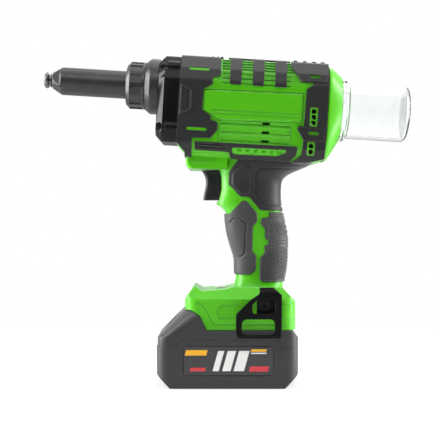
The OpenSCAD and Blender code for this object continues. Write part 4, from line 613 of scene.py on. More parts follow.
def inside(outline, x, z):
    """Which points lie in an outline, seen from the side."""
    within = np.zeros(np.shape(x), bool)
    for (ax, az), (bx, bz) in zip(outline, outline[1:] + outline[:1]):
        if az != bz:
            crosses = ((az > z) != (bz > z)) & (x < (bx - ax) * (z - az) / (bz - az) + ax)
            within ^= crosses
    return within


def groove(distance, width, depth):
    """A rounded groove of a width and depth about a line."""
    return -depth * np.clip(1 - (distance / (width / 2)) ** 2, 0, 1)


def grip_pad(name, node, rubber, outline, wraps, step, columns, relief, hole=None, brow=None):
    """A pad on the handle inside an outline, wrapped round its rear or front, with a relief on it."""
    low, high = min(z for _, z in outline), max(z for _, z in outline)
    high = min(high, FOOT_BOTTOM + GRIP_TOP * GRIP_RISE)
    heights = sorted(set(np.arange(low, high, step)) | {z for _, z in outline if low <= z <= high} | {high})
    heights = [z for i, z in enumerate(heights) if i == 0 or z - heights[i - 1] > step / 5]
    bm = bmesh.new()
    bmesh.ops.create_grid(bm, x_segments=columns - 1, y_segments=len(heights) - 1, size=1.0)
    bm.verts.ensure_lookup_table()
    turns = np.linspace(0, math.pi, 500)
    across = np.linspace(-1, 1, columns)
    for row, z in enumerate(heights):
        crossing = []
        for (ax, az), (bx, bz) in zip(outline, outline[1:] + outline[:1]):
            if min(az, bz) <= z <= max(az, bz):
                crossing += [ax, bx] if az == bz else [ax + (bx - ax) * (z - az) / (bz - az)]
        edge = min(crossing) if wraps == "rear" else max(crossing)
        x, y = section(z, GRIP_THICK, turns)
        run = np.concatenate(([0], np.cumsum(np.hypot(np.diff(x), np.diff(y)))))
        at_edge = np.interp(-edge, -x, run)
        end = 0 if wraps == "rear" else run[-1]
        turn = np.interp(end + np.abs(across) * (at_edge - end), run, turns)
        x, _ = section(z, GRIP_THICK, turn)
        rim = np.clip(away_from(outline, x, np.full(columns, z), True) / RIM_REACH, 0, 1)
        raised = GRIP_THICK - RIM_DROP * (1 - np.sqrt(1 - (1 - rim) ** 2)) + relief(x, np.full(columns, z))
        for column in range(columns):
            px, py = section(z, raised[column], turn[column:column + 1])
            bm.verts[row * columns + column].co = (px[0], py[0] * np.sign(across[column]), z)
    if hole:
        hx, hz, radius = hole
        gone = [f for f in bm.faces if f.calc_center_median().y > 0
                and math.hypot(f.calc_center_median().x - hx, f.calc_center_median().z - hz) < radius]
        bmesh.ops.delete(bm, geom=gone, context="FACES")
        for v in bm.verts:
            reach = math.hypot(v.co.x - hx, v.co.z - hz)
            if v.is_boundary and v.co.y > 0 and reach < radius * 1.5:
                v.co.x, v.co.z = hx + (v.co.x - hx) * radius / reach, hz + (v.co.z - hz) * radius / reach
    bmesh.ops.recalc_face_normals(bm, faces=bm.faces)
    if sum(f.normal.y * f.calc_center_median().y for f in bm.faces) < 0:
        bmesh.ops.reverse_faces(bm, faces=bm.faces)
    bm.normal_update()
    if brow:
        (ax, az), (bx, bz) = brow
        above = [f for f in bm.faces if all(v.co.z > az - 1e-6 for v in f.verts)]
        above += list({e for f in above for e in f.edges}) + list({v for f in above for v in f.verts})
        cut = bmesh.ops.bisect_plane(bm, geom=above, dist=1e-6, plane_co=(ax, 0, az),
                                     plane_no=(az - bz, 0, bx - ax), clear_outer=True)
        seam = [v for v in cut["geom_cut"] if isinstance(v, bmesh.types.BMVert)]
        bmesh.ops.remove_doubles(bm, verts=seam, dist=0.0004)
    bm.normal_update()
    rims = [e for e in bm.edges if e.is_boundary]
    sunk = bmesh.ops.extrude_edge_only(bm, edges=rims)
    for v in [g for g in sunk["geom"] if isinstance(g, bmesh.types.BMVert)]:
        rear_and_front, _ = section(v.co.z, 0.0, np.array([0.0, math.pi]))
        inward = Vector((rear_and_front.mean() - v.co.x, -v.co.y, 0)).normalized()
        v.co += inward * RIM_SINK
    for e in rims:
        e.smooth = False
    made = put_in_scene(name, bm, rubber)
    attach(made, "tool")
    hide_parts(node)


OCTAGON = on_grip([(0.134, 0.685), (0.042, 0.644), (0.038, 0.598), (0.127, 0.556), (0.189, 0.556),
                   (0.219, 0.576), (0.219, 0.665), (0.180, 0.685)])
UPPER_LINE = [(0.060, 0.1866), (0.0290, 0.1866), (0.0247, 0.1827), (0.0242, 0.1647), (0.0324, 0.1543),
              (0.048, 0.1543)]
FRONT_LINE = [(0.0023, 0.1406), (0.0049, 0.1432), (0.0118, 0.1432), (0.0161, 0.1389), (0.0148, 0.1130),
              (0.0118, 0.1104), (0.0066, 0.1104)]
RIB_PANELS = ([(0.0330, 0.1414), (0.0700, 0.1414), (0.0700, 0.1285), (0.0365, 0.1285), (0.0365, 0.1365)],
              [(0.0350, 0.1182), (0.0700, 0.1182), (0.0700, 0.0906), (0.0302, 0.0906), (0.0302, 0.1100),
               (0.0340, 0.1125)])
RIB_BANDS = ((0.1423, 0.1500), (0.1199, 0.1276))
LINE_WIDE, LINE_DEEP = 0.0016, 0.0010
RIB_PITCH, BAND_PITCH, RIB_HEIGHT, BAND_FRONT = 0.0019, 0.0026, 0.0004, 0.0365


def upper_relief(x, z):
    """The upper pad's raised eight-sided boss, and the line drawn round its rear."""
    inner = np.where(inside(OCTAGON, x, z), away_from(OCTAGON, x, z, True), 0)
    return 0.0008 * np.clip(inner / 0.0016, 0, 1) + groove(away_from(UPPER_LINE, x, z), LINE_WIDE, LINE_DEEP)


def front_relief(x, z):
    """The line drawn on each side of the front pad."""
    return groove(away_from(FRONT_LINE, x, z), LINE_WIDE, LINE_DEEP)


def rear_relief(x, z):
    """The rear pad's panels of slanted ribs, each with a groove round it, and bands of level ribs."""
    total = np.zeros(np.shape(x))
    for panel in RIB_PANELS:
        depth = np.clip(away_from(panel, x, z, True) / 0.0008, 0, 1) * inside(panel, x, z)
        total += depth * (-0.0003 + RIB_HEIGHT * np.cos(2 * math.pi * (x * 0.80 + z * 0.60) / RIB_PITCH))
        total += groove(away_from(panel, x, z, True), 0.0009, 0.0005)
    for bottom, top in RIB_BANDS:
        band = np.clip(np.minimum(z - bottom, top - z) / 0.0006, 0, 1) * (x > BAND_FRONT)
        total += band * RIB_HEIGHT * np.cos(2 * math.pi * (z - bottom) / BAND_PITCH)
    return total


hold_rubber = moulded("hold_rubber", srgb(56, 56, 57), 0.50, 0.00035, 0.00004, Specular_IOR_Level=0.35,
                      Sheen_Weight=0.2)
grip_pad("upper_pad", "upper_grip", soft_rubber, on_grip(UPPER), "rear", 0.0006, 181, upper_relief)
grip_pad("front_hold", "front_grip", hold_rubber, on_grip(FRONT), "front", 0.0005, 151, front_relief,
         brow=on_grip([(0.024, 0.479), (0.130, 0.528)]))
grip_pad("rear_hold", "rear_grip", hold_rubber, on_grip(REAR), "rear", 0.0005, 151, rear_relief,
         hole=(0.0443, 0.1008, 0.0036))

# Gear case: a black-coated die casting on the front of the body, its front edge bevelled all round.
# Four socket screws, blackened, go through ears at its corners into the shells.
black_coat = moulded("black_coat", srgb(7, 7, 8), 0.36, 0.0009, 0.00001, wear=0.15, Specular_IOR_Level=0.22)
case_bm = cad_copy("gear_case")
round_edges(case_bm, 0.0007, segments=3)
piece("gear_casting", case_bm, black_coat, "tool", "black_metal", "gear_case")
screw_bm = cad_copy("gear_case_screws")
round_edges(screw_bm, 0.00025)
piece("case_screws", screw_bm, black_coat, "tool", "steel", "gear_case_screws")

# Nose adapter and sleeve: a turned steel step ring screwed to the gear case, and the long turned
# tube in front of it. Both are blackened and show fine lines left by the lathe.
ADAPTER = [(-0.0714, 0.01215), (-0.0714, 0.0205), (-0.0668, 0.0242), (-0.05945, 0.0242), (-0.05945, 0.01215)]
SLEEVE = [(-0.1532, 0.00595), (-0.1532, 0.0070), (-0.1448, 0.0121), (-0.05945, 0.0121), (-0.05945, 0.0100),
          (-0.1428, 0.0100), (-0.1428, 0.00595)]
FLAT_HALF, FLAT_END, FLAT_TURN = 0.0076, -0.1465, -20


def turned(profile, drop=0.0, segments=96):
    """A lathe piece: a closed profile of station and radius, spun about the barrel's line.

    Spin gives its edges and faces in another order each run, so they are put in that of their corners."""
    bm = bmesh.new()
    points = [bm.verts.new((x, 0, r - drop)) for x, r in profile]
    lines = [bm.edges.new((a, b)) for a, b in zip(points, points[1:] + points[:1])]
    bmesh.ops.spin(bm, geom=points + lines, cent=(0, 0, -drop), axis=(1, 0, 0), dvec=(0, 0, 0),
                   angle=math.radians(360), steps=segments, use_merge=True, use_duplicate=False)
    bm.verts.index_update()
    for parts in (bm.edges, bm.faces):
        parts.sort(key=lambda part: min(v.index for v in part.verts) * len(bm.verts)
                   + max(v.index for v in part.verts))
    bmesh.ops.remove_doubles(bm, verts=bm.verts, dist=2e-6)
    bmesh.ops.recalc_face_normals(bm, faces=bm.faces)
    bmesh.ops.transform(bm, matrix=BARREL, verts=bm.verts)
    return bm


def lathe_steel(name, colour, rough, lines, metallic=1.0):
    """Turned steel: rings of fine lines round the barrel, cloudy tone, and bare bright edges."""
    f = Finish(name, Metallic=metallic)
    deep = tuple(c * 0.72 for c in colour[:3]) + (1.0,)
    bare = tuple(c + (1 - c) * 0.45 for c in colour[:3]) + (1.0,)
    rings = f.noise(lines, 2, (1.0, 0.02, 0.02))
    tone = f.mix(f.spread(f.noise(0.012, 4), 0, 1), colour, deep)
    f.link(f.mix(f.spread(f.edges(0.0005), 0, 0.6, 0, 1), tone, bare), "Base Color")
    f.link(f.spread(rings, rough - 0.07, rough + 0.1), "Roughness")
    f.link(f.bump(rings, 0.000006), "Normal")
    return f.material


black_steel = lathe_steel("black_steel", srgb(66, 66, 67), 0.40, 0.0006, 0.6)
adapter_bm = turned(ADAPTER)
round_edges(adapter_bm, 0.0005, segments=3)
piece("step_ring", adapter_bm, black_steel, "tool", "black_metal", "nose_adapter")

flat_cutter = bmesh.new()
flat_place = BARREL @ Matrix.Rotation(math.radians(FLAT_TURN), 4, "X")
prism(flat_cutter, [(-0.160, -0.014), (FLAT_END, -0.014), (FLAT_END, 0.014), (-0.160, 0.014)],
      FLAT_HALF, 0.020, flat_place)
sleeve_bm = carved(turned(SLEEVE), flat_cutter)
round_edges(sleeve_bm, 0.0004)
piece("nose_tube", sleeve_bm, black_steel, "tool", "nose_grey", "nose_sleeve")

# Collar nut: a moulded ring that locks the sleeve, with a chamfered front, a plain rear rim and
# slots round it for the fingers. It turns on the sleeve.
COLLAR = [(-0.0880, 0.01245), (-0.0880, 0.0171), (-0.0846, 0.0205), (-0.07175, 0.0205), (-0.07175, 0.01245)]
COLLAR_SLOTS, SLOT_LEAD = 12, 0.63
SLOT_FROM, SLOT_TO, SLOT_WIDTH, SLOT_FLOOR, SLOT_HEIGHT = -0.0846, -0.0738, 0.0074, 0.0192, 0.004
collar_coat = moulded("collar_coat", srgb(42, 42, 43), 0.36, 0.0006, 0.00002, wear=0.7,
                      Specular_IOR_Level=0.5)
slots_bm = bmesh.new()
for k in range(COLLAR_SLOTS):
    turn = Matrix.Rotation(2 * math.pi * (k + SLOT_LEAD) / COLLAR_SLOTS, 4, "X")
    middle = Matrix.Translation(((SLOT_FROM + SLOT_TO) / 2, 0, SLOT_FLOOR + SLOT_HEIGHT / 2))
    size = Matrix.Diagonal((SLOT_TO - SLOT_FROM, SLOT_WIDTH, SLOT_HEIGHT, 1))
    bmesh.ops.create_cube(slots_bm, size=1.0, matrix=BARREL @ turn @ middle @ size)
collar_bm = carved(turned(COLLAR), slots_bm)
round_edges(collar_bm, 0.0003)
piece("lock_collar", collar_bm, collar_coat, "collar", "nose_grey", "collar_nut")

# Nosepiece: a hardened steel tip screwed into the sleeve. It has a rounded head, a grooved neck and
# a bore that takes the stem of the rivet.
NOSE_TIP = [(-0.1607, 0.0017), (-0.1607, 0.0050), (-0.1596, 0.0066), (-0.1588, 0.0070), (-0.1578, 0.0070),
            (-0.1570, 0.0066), (-0.1565, 0.0056), (-0.1560, 0.0052), (-0.1554, 0.0052), (-0.1551, 0.0060),
            (-0.1543, 0.0060), (-0.1540, 0.0054), (-0.1536, 0.0054), (-0.1533, 0.0059), (-0.1407, 0.0059),
            (-0.1407, 0.0017)]
tip_steel = lathe_steel("tip_steel", srgb(122, 121, 119), 0.30, 0.0005)
tip_bm = turned(NOSE_TIP, segments=72)
round_edges(tip_bm, 0.0002, angle=24)
piece("nose_tip", tip_bm, tip_steel, "tool", "steel", "nosepiece")

# Rear cap: a green moulded ring behind the body. It tapers from the body's squared section to the
# rounder seat of the cup, with a bore at the back for the cup's spigot.
CUP_DROP = 0.0106
CAP_FRONT, CAP_REAR, CAP_BORE, CAP_HOLE = 0.08605, 0.0993, 0.02185, 0.0180
CAP_SEAT = CAP_REAR - 0.00675


def oval(bm, station, half, top, bottom, power, count=96):
    """A ring across the barrel, from round at power 2 to squarer at more."""
    points = []
    for k in range(count):
        c, s = math.cos(2 * math.pi * k / count), math.sin(2 * math.pi * k / count)
        y = half * math.copysign(abs(c) ** (2 / power), c)
        z = (top + bottom) / 2 + (top - bottom) / 2 * math.copysign(abs(s) ** (2 / power), s)
        points.append(bm.verts.new(BARREL @ Vector((station, y, z))))
    return [bm.edges.new((a, b)) for a, b in zip(points, points[1:] + points[:1])]


def bore(bm, station, radius):
    """A round ring about the cup's line."""
    return oval(bm, station, radius, radius - CUP_DROP, -radius - CUP_DROP, 2)


cap_bm = bmesh.new()
rings = [oval(cap_bm, CAP_FRONT, 0.0326, 0.0247, -0.0567, 3.3),
         oval(cap_bm, CAP_FRONT + 0.0006, 0.0330, 0.0251, -0.0571, 3.4),
         oval(cap_bm, 0.0880, 0.0328, 0.0249, -0.0569, 3.3),
         oval(cap_bm, 0.0894, 0.0324, 0.0244, -0.0564, 3.2),
         oval(cap_bm, 0.0927, 0.0310, 0.0222, -0.0508, 2.85),
         oval(cap_bm, 0.0960, 0.0294, 0.0199, -0.0450, 2.5),
         oval(cap_bm, CAP_REAR, 0.0275, 0.0174, -0.0392, 2.2),
         bore(cap_bm, CAP_REAR, CAP_BORE), bore(cap_bm, CAP_SEAT, CAP_BORE),
         bore(cap_bm, CAP_SEAT, CAP_HOLE), bore(cap_bm, CAP_FRONT, CAP_HOLE)]
for first, second in zip(rings, rings[1:] + rings[:1]):
    bmesh.ops.bridge_loops(cap_bm, edges=first + second)
bmesh.ops.recalc_face_normals(cap_bm, faces=cap_bm.faces)
round_edges(cap_bm, 0.0007, segments=3)
piece("tail_cap", cap_bm, green_shell, "tool", "shell_green", "rear_cap")

# Mandrel cup: a clear polycarbonate pot that catches spent stems. It is blown thin with a rounded
# end, and its spigot pushes into the rear cap over a rubber ring.
CUP_END, CUP_OUTER, CUP_INNER, CUP_WALL, CUP_ROUND = 0.15855, 0.02475, 0.02235, 0.0024, 0.0046


def shoulder(radius, size):
    """A quarter round from the cup's wall to its flat end."""
    turns = [math.radians(90 * k / 8) for k in range(9)]
    return [(CUP_END - CUP_ROUND + size * math.sin(t), radius - size + size * math.cos(t)) for t in turns]


CUP = [(0.0929, 0.0191), (0.0929, 0.0210), (0.0934, 0.0215), (0.0961, 0.0215), (0.0961, 0.0207),
       (0.0985, 0.0207), (0.0985, 0.0215), (0.09965, 0.0215), (0.09965, 0.0270), (0.1000, 0.0274),
       (0.1031, 0.0274), (0.10355, 0.0270), (0.10355, 0.0252), (0.1041, CUP_OUTER)]
CUP += shoulder(CUP_OUTER, CUP_ROUND) + [(CUP_END, 0.0), (CUP_END - CUP_WALL, 0.0)]
CUP += shoulder(CUP_INNER, CUP_ROUND - CUP_WALL)[::-1]
CUP += [(0.1064, CUP_INNER), (0.1054, 0.0215), (0.1054, 0.0191)]
clear_plastic = Finish("clear_plastic", IOR=1.46, Transmission_Weight=1.0)
haze = clear_plastic.noise(0.006, 4)
pale = clear_plastic.mix(clear_plastic.spread(haze, 0, 1), srgb(254, 255, 255), srgb(250, 252, 252))
# Painted shade: the clear plastic's colour turns grey where its wall is seen edge-on, so the cup's rims and
# outline read darker.
facing = clear_plastic.node("ShaderNodeLayerWeight", Blend=0.5).outputs["Facing"]
painted_rim_shade = clear_plastic.spread(facing, 0, 1, 0.42, 0.78)
clear_plastic.link(clear_plastic.mix(painted_rim_shade, pale, srgb(172, 174, 174)), "Base Color")
clear_plastic.link(clear_plastic.spread(clear_plastic.noise(0.003, 5), 0.07, 0.13, 0.35, 0.75), "Roughness")
cup_bm = turned(CUP, CUP_DROP, 128)
piece("stem_cup", cup_bm, clear_plastic.material, "cup", "clear_cup", "mandrel_cup")

seal_bm = cad_copy("cup_seal")
round_edges(seal_bm, 0.0005, segments=3)
piece("cup_ring", seal_bm, soft_rubber, "cup", "rubber_dark", "cup_seal")

# Trigger: a moulded nylon lever that slides back into the handle. Its hollowed front is broadly
# rounded for the finger, and each side has a shallow sunk panel.
TRIGGER_HALF = 0.009
TRIGGER_FRONT = on_grip([(-0.224, 0.535), (-0.214, 0.565), (-0.201, 0.599), (-0.201, 0.628), (-0.219, 0.646),
                         (-0.238, 0.660)])
TRIGGER_BACK = on_grip([(0.048, 0.660), (0.048, 0.535)])
curve = np.polyfit([z for _, z in TRIGGER_FRONT], [x for x, _ in TRIGGER_FRONT], 3)
steps = np.linspace(TRIGGER_FRONT[0][1], TRIGGER_FRONT[-1][1], 22)
trigger_line = [(float(np.polyval(curve, z)), float(z)) for z in steps]
FINGER_ROUND = 0.0032
PANEL_EDGE, PANEL_END, PANEL_SUNK = 0.0012, 0.0014, 0.0005
black_nylon = moulded("black_nylon", srgb(27, 27, 29), 0.42, 0.0004, 0.00003, Specular_IOR_Level=0.4)
trigger_bm = bmesh.new()
slices = []
for k in range(-6, 7):
    turn = math.radians(15 * k)
    y = math.copysign(TRIGGER_HALF - FINGER_ROUND, k) + FINGER_ROUND * math.sin(turn) if k else 0.0
    set_back = FINGER_ROUND * (1 - math.cos(turn))
    outline = [(x + set_back, z) for x, z in trigger_line] + TRIGGER_BACK
    points = [trigger_bm.verts.new((x, y, z)) for x, z in outline]
    slices.append([trigger_bm.edges.new((a, b)) for a, b in zip(points, points[1:] + points[:1])])
for first, second in zip(slices, slices[1:]):
    bmesh.ops.bridge_loops(trigger_bm, edges=first + second)
bmesh.ops.contextual_create(trigger_bm, geom=slices[0])
bmesh.ops.contextual_create(trigger_bm, geom=slices[-1])
bmesh.ops.recalc_face_normals(trigger_bm, faces=trigger_bm.faces)
panel_low, panel_high = trigger_line[0][1] + PANEL_END, trigger_line[-1][1] - PANEL_END
panel_back = TRIGGER_BACK[0][0] - PANEL_EDGE
side_panel = [(x + FINGER_ROUND + PANEL_EDGE, z) for x, z in trigger_line if panel_low < z < panel_high]
side_panel += [(panel_back, panel_high), (panel_back, panel_low)]
sunk_bm = bmesh.new()
prism(sunk_bm, side_panel, TRIGGER_HALF - PANEL_SUNK, TRIGGER_HALF + 0.001)
trigger_bm = carved(trigger_bm, sunk_bm)
round_edges(trigger_bm, 0.0003)
piece("finger_trigger", trigger_bm, black_nylon, "trigger", "black_plastic", "trigger")

# Work light and mode button: a clear domed lens in the hood on the foot's front, and a white
# button on the foot's top that springs up in its slot.
frosted = Finish("frosted_lens", Transmission_Weight=0.55, IOR=1.49, Roughness=0.22)
milky = frosted.spread(frosted.noise(0.0012, 3), 0, 1)
frosted.link(frosted.mix(milky, srgb(250, 250, 244), srgb(236, 238, 234)), "Base Color")
frosted.link(frosted.bump(frosted.noise(0.0007, 2), 0.00004), "Normal")
lens_bm = cad_copy("light_lens")
round_edges(lens_bm, 0.0006, segments=4)
piece("foot_lens", lens_bm, frosted.material, "tool", "lens", "light_lens")
white_button = moulded("white_button", srgb(226, 226, 222), 0.34, 0.0005, 0.00002)
button_bm = cad_copy("mode_button")
round_edges(button_bm, 0.0006, segments=3)
piece("speed_button", button_bm, white_button, "mode_button", "white_plastic", "mode_button")

# Belt hook: a strip of spring steel, pressed to shape with two windows and a flared lip, and coated
# black. One socket screw holds it to the foot.
HOOK_CORNER = [(0.0392, 0.0850), (0.0480, 0.0772), (0.0480, 0.0900), (0.0392, 0.0900)]
HOOK_INSIDE, HOOK_OUTSIDE = 0.030, 0.060
hook_coat = moulded("hook_coat", srgb(8, 8, 9), 0.36, 0.0007, 0.00002, wear=0.4, Specular_IOR_Level=0.15)
corner_bm = bmesh.new()
prism(corner_bm, HOOK_CORNER, HOOK_INSIDE, HOOK_OUTSIDE, sides=(-1,))
hook_bm = carved(cad_copy("belt_hook"), corner_bm)
round_edges(hook_bm, 0.0004)
piece("pressed_hook", hook_bm, hook_coat, "tool", "black_metal", "belt_hook")
hook_screw_bm = cad_copy("belt_hook_screw")
round_edges(hook_screw_bm, 0.0004, segments=3)
piece("hook_screw", hook_screw_bm, black_coat, "tool", "steel", "belt_hook_screw")

# Battery case: two dark moulded halves that meet on a stepped seam. Their corners are broadly
# rounded, the front hump slopes to the latch, and four screws go in from below.
PACK_HALF = 0.038
DECK, DECK_FRONT = 0.0488, -0.0170
HUMP_FOOT, HUMP_TOP = (-0.05924, 0.04294), (-0.03660, 0.06608)
HUMP_ROUNDS = (0.0100, 0.0225)
HUMP_STEPS, CORNER_STEPS = 8, 16
pack_plastic = moulded("pack_plastic", srgb(46, 46, 47), 0.38, 0.0004, 0.00004, Specular_IOR_Level=0.45,
                       Sheen_Weight=0.08)


def on_deck(edge):
    """Edges along both sides of the battery's flat top."""
    return all(abs(v.co.y) > 0.0300 and abs(v.co.z - DECK) < 2e-4 and v.co.x > DECK_FRONT - 0.001
               for v in edge.verts)


def hump_ring(bm, height, front, corner):
    """A level outline round the battery, its two front corners rounded."""
    points = [(0.10, PACK_HALF + 0.0001), (0.10, -PACK_HALF - 0.0001)]
    for k in range(CORNER_STEPS + 1):
        turn = math.radians(-90 - 90 * k / CORNER_STEPS)
        points.append((front + corner * (1 + math.cos(turn)), -PACK_HALF + corner * (1 + math.sin(turn))))
    for k in range(CORNER_STEPS + 1):
        turn = math.radians(180 - 90 * k / CORNER_STEPS)
        points.append((front + corner * (1 + math.cos(turn)), PACK_HALF - corner * (1 - math.sin(turn))))
    verts = [bm.verts.new((x, y, height)) for x, y in points]
    return [bm.edges.new((a, b)) for a, b in zip(verts, verts[1:] + verts[:1])]


hump_bm = bmesh.new()
rings = [hump_ring(hump_bm, 0.0, HUMP_FOOT[0] - 0.001, HUMP_ROUNDS[0])]
for k in range(HUMP_STEPS + 1):
    share = k / HUMP_STEPS
    front = HUMP_FOOT[0] + share * (HUMP_TOP[0] - HUMP_FOOT[0]) - 0.00005
    corner = HUMP_ROUNDS[0] + share * (HUMP_ROUNDS[1] - HUMP_ROUNDS[0])
    rings.append(hump_ring(hump_bm, HUMP_FOOT[1] + share * (HUMP_TOP[1] - HUMP_FOOT[1]), front, corner))
rings.append(hump_ring(hump_bm, 0.080, HUMP_TOP[0], HUMP_ROUNDS[1]))
for first, second in zip(rings, rings[1:]):
    bmesh.ops.bridge_loops(hump_bm, edges=first + second)
bmesh.ops.contextual_create(hump_bm, geom=rings[0])
bmesh.ops.contextual_create(hump_bm, geom=rings[-1])
bmesh.ops.recalc_face_normals(hump_bm, faces=hump_bm.faces)
upper_bm = carved(cad_copy("battery_upper_case"), hump_bm, "INTERSECT")
round_edges(upper_bm, 0.0030, segments=2, chosen=on_deck)
round_edges(upper_bm, 0.0005, angle=32)
piece("pack_top", upper_bm, pack_plastic, "battery", "pack_case", "battery_upper_case")
lower_bm = cad_copy("battery_lower_case")
round_edges(lower_bm, 0.0006, angle=32, segments=3)
piece("pack_tub", lower_bm, pack_plastic, "battery", "pack_case", "battery_lower_case")

# Pack label: a thin printed plate glued into the recess on one side of the battery. Its print is a
# plain set of slanted bars in white, amber and red.
LABEL_FROM, LABEL_TO, LABEL_LOW, LABEL_HIGH = -0.0369, 0.0386, 0.0115, 0.0356
LABEL_SEAT, LABEL_FACE, PRINT = PACK_HALF - 0.00075, PACK_HALF - 0.00025, 0.00006
LEAN = 0.28
BARS = {"white": (srgb(228, 228, 226), [(-0.0100, 0.0235, 0.0052, 0.0170), (-0.0010, 0.0235, 0.0070, 0.0170),
                                        (0.0095, 0.0235, 0.0088, 0.0170), (0.0262, 0.0300, 0.0130, 0.0012)]),
        "amber": (srgb(240, 176, 28), [(-0.0270, 0.0304, 0.0180, 0.0046), (0.0262, 0.0324, 0.0130, 0.0022)]),
        "red": (srgb(206, 52, 60), [(-0.0255, 0.0164, 0.0130, 0.0030), (0.0260, 0.0168, 0.0160, 0.0044)])}
plate_bm = bmesh.new()
prism(plate_bm, oblong((LABEL_FROM + LABEL_TO) / 2, (LABEL_LOW + LABEL_HIGH) / 2, LABEL_TO - LABEL_FROM,
                       LABEL_HIGH - LABEL_LOW), LABEL_SEAT, LABEL_FACE, sides=(-1,))
round_edges(plate_bm, 0.0016, segments=6, chosen=lambda e: abs(e.verts[0].co.y - e.verts[1].co.y) > 3e-4)
round_edges(plate_bm, 0.0001, segments=1)
label_film = moulded("label_film", srgb(54, 54, 55), 0.30, 0.0009, 0.00001)
piece("label_plate", plate_bm, label_film, "battery", "pack_case")
for tone, (colour, bars) in BARS.items():
    bars_bm = bmesh.new()
    for x, z, length, height in bars:
        outline = oblong(x, z, length, height, LEAN * height)
        prism(bars_bm, outline, LABEL_FACE - PRINT, LABEL_FACE + PRINT, sides=(-1,))
    print_ink = moulded("print_" + tone, colour, 0.36, 0.0007, 0.00001)
    piece("label_bars_" + tone, bars_bm, print_ink, "battery", "pack_case")

# Battery latch: a black button in the front slope with a sunk finger rest. A spring behind it keeps
# it up, and pressing it frees the battery from its rails.
FINGER_REST, REST_DEPTH, LATCH_PROUD = (0.0100, 0.0190), 0.0008, 0.0003
latch_bm = cad_copy("battery_latch")
slope_foot = Vector((HUMP_FOOT[0], 0, HUMP_FOOT[1]))
slope = (Vector((HUMP_TOP[0], 0, HUMP_TOP[1])) - slope_foot).normalized()
proud = Vector((-slope.z, 0, slope.x))
face_point = slope_foot + proud * LATCH_PROUD
on_slope = Matrix((slope, (0, 1, 0), proud)).transposed().to_4x4()
reach = [v.co.dot(slope) for v in latch_bm.verts if (v.co - face_point).dot(proud) > -0.0005]
middle = face_point + slope * ((min(reach) + max(reach)) / 2 - face_point.dot(slope))
above_bm = bmesh.new()
above = Matrix.Translation(middle + proud * 0.005) @ on_slope @ Matrix.Diagonal((0.040, 0.060, 0.010, 1))
bmesh.ops.create_cube(above_bm, size=1.0, matrix=above)
latch_bm = carved(latch_bm, above_bm)
rest_bm = bmesh.new()
rest = Matrix.Translation(middle) @ on_slope @ Matrix.Diagonal((*FINGER_REST, 2 * REST_DEPTH, 1))
bmesh.ops.create_cube(rest_bm, size=1.0, matrix=rest)
latch_bm = carved(latch_bm, rest_bm)
round_edges(latch_bm, 0.0005)
piece("latch_button", latch_bm, black_nylon, "latch", "black_plastic", "battery_latch")

# Housing screws: countersunk steel screws, blackened, driven in from the right side through the
# bosses of one shell into the other.
def dress(material, *nodes):
    """Gives a material to pieces that stay as they were modelled."""
    for name in nodes:
        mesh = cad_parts[name].data
        mesh.materials.clear()
        mesh.materials.append(material)


screw_steel = lathe_steel("screw_steel", srgb(58, 58, 60), 0.34, 0.0004, 0.9)
dress(screw_steel, "housing_screws", "battery_screws")

# Motor: an enamelled copper winding in the stator, a rotor of stacked steel sheets, a moulded fan on
# its shaft, and two ball bearings of bright steel.
copper = Finish("copper_wire", Metallic=0.85, Specular_IOR_Level=0.5)
turns = copper.node("ShaderNodeTexWave", Scale=350.0, Distortion=1.5, Detail=2.0)
copper.link(copper.place, turns.inputs["Vector"])
copper.link(copper.mix(turns.outputs["Fac"], srgb(112, 56, 26), srgb(206, 126, 70)), "Base Color")
copper.link(copper.spread(copper.noise(0.004, 3), 0.25, 0.45), "Roughness")
copper.link(copper.bump(turns.outputs["Fac"], 0.00015), "Normal")
dress(copper.material, "stator")
sheet_steel = lathe_steel("sheet_steel", srgb(150, 152, 156), 0.36, 0.0005)
bearing_steel = lathe_steel("bearing_steel", srgb(196, 198, 202), 0.20, 0.0012)
fan_plastic = moulded("fan_plastic", srgb(36, 36, 38), 0.45, 0.0006, 0.00003)
dress(sheet_steel, "rotor")
dress(fan_plastic, "fan")
dress(bearing_steel, "motor_bearings", "nut_bearings")

# Gear train and screw: hardened gears dark from quenching, a ground carrier, and the nut that draws
# the screw back, all lightly oiled.
gear_steel = lathe_steel("gear_steel", srgb(116, 114, 112), 0.30, 0.0006)
ground_steel = lathe_steel("ground_steel", srgb(178, 179, 182), 0.24, 0.0004)
nut_bronze = lathe_steel("nut_bronze", srgb(176, 132, 70), 0.32, 0.0005)
dress(gear_steel, "ring_gear", "nut_gear", "planet_1", "planet_2", "planet_3")
dress(ground_steel, "carrier", "spindle")
dress(nut_bronze, "screw_nut")

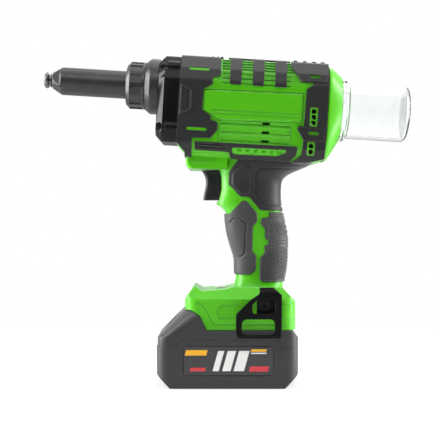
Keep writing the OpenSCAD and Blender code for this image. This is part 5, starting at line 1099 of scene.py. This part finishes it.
# Pulling head: a turned case with three toothed jaws, the pusher behind them, their spring of bright
# wire, and the thin tube that leads spent stems back to the cup.
jaw_steel = lathe_steel("jaw_steel", srgb(92, 92, 94), 0.28, 0.0003)
spring_wire = lathe_steel("spring_wire", srgb(170, 172, 176), 0.25, 0.0008)
guide_plastic = moulded("guide_plastic", srgb(205, 203, 196), 0.40, 0.0006, 0.00002)
dress(sheet_steel, "jaw_case", "jaw_pusher")
dress(jaw_steel, "jaw_1", "jaw_2", "jaw_3")
dress(spring_wire, "jaw_spring")
dress(guide_plastic, "guide_tube")

# Switch and wiring: a moulded switch block behind the trigger, the circuit board and the terminal
# block in the foot, and soft sheathed wires between them.
laminate = Finish("laminate", Specular_IOR_Level=0.45)
tracks = laminate.node("ShaderNodeTexBrick", Scale=160.0, Mortar_Size=0.04, Color1=srgb(18, 92, 48),
                       Color2=srgb(24, 104, 56), Mortar=srgb(70, 150, 84))
laminate.link(laminate.place, tracks.inputs["Vector"])
laminate.link(tracks.outputs["Color"], "Base Color")
laminate.link(laminate.spread(laminate.noise(0.003, 3), 0.28, 0.46), "Roughness")
laminate.link(laminate.bump(laminate.noise(0.0008, 3), 0.00004), "Normal")
block_plastic = moulded("block_plastic", srgb(30, 30, 31), 0.46, 0.0006, 0.00004)
wire_sheath = moulded("wire_sheath", srgb(158, 34, 30), 0.38, 0.0008, 0.00002)
dress(laminate.material, "control_board", "battery_board")
dress(block_plastic, "trigger_switch", "terminal_block")
dress(wire_sheath, "wiring")

# Trigger spring and latch spring: coils of bright wire that push the trigger and the latch back out.
def coil(name, node, body):
    """A spring kept in its modelled shape, on a mesh of its own."""
    bm = cad_copy(node)
    made = piece(name, bm, spring_wire, body, "steel", node)
    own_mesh(made)


coil("trigger_coil", "trigger_spring", "tool")
coil("latch_coil", "latch_spring", "battery")

# Battery inside: cells in shrunk blue film between two moulded holders, joined by welded nickel
# straps, with brass terminals that meet the tool's blades.
cell_film = moulded("cell_film", srgb(44, 96, 176), 0.30, 0.0008, 0.00002)
holder_plastic = moulded("holder_plastic", srgb(62, 62, 64), 0.48, 0.0006, 0.00004)
nickel = lathe_steel("nickel", srgb(188, 184, 174), 0.26, 0.0007)
brass = lathe_steel("brass", srgb(206, 168, 92), 0.24, 0.0006)
dress(cell_film, "battery_cells")
dress(holder_plastic, "cell_holders")
dress(nickel, "cell_straps")
dress(brass, "battery_terminals")
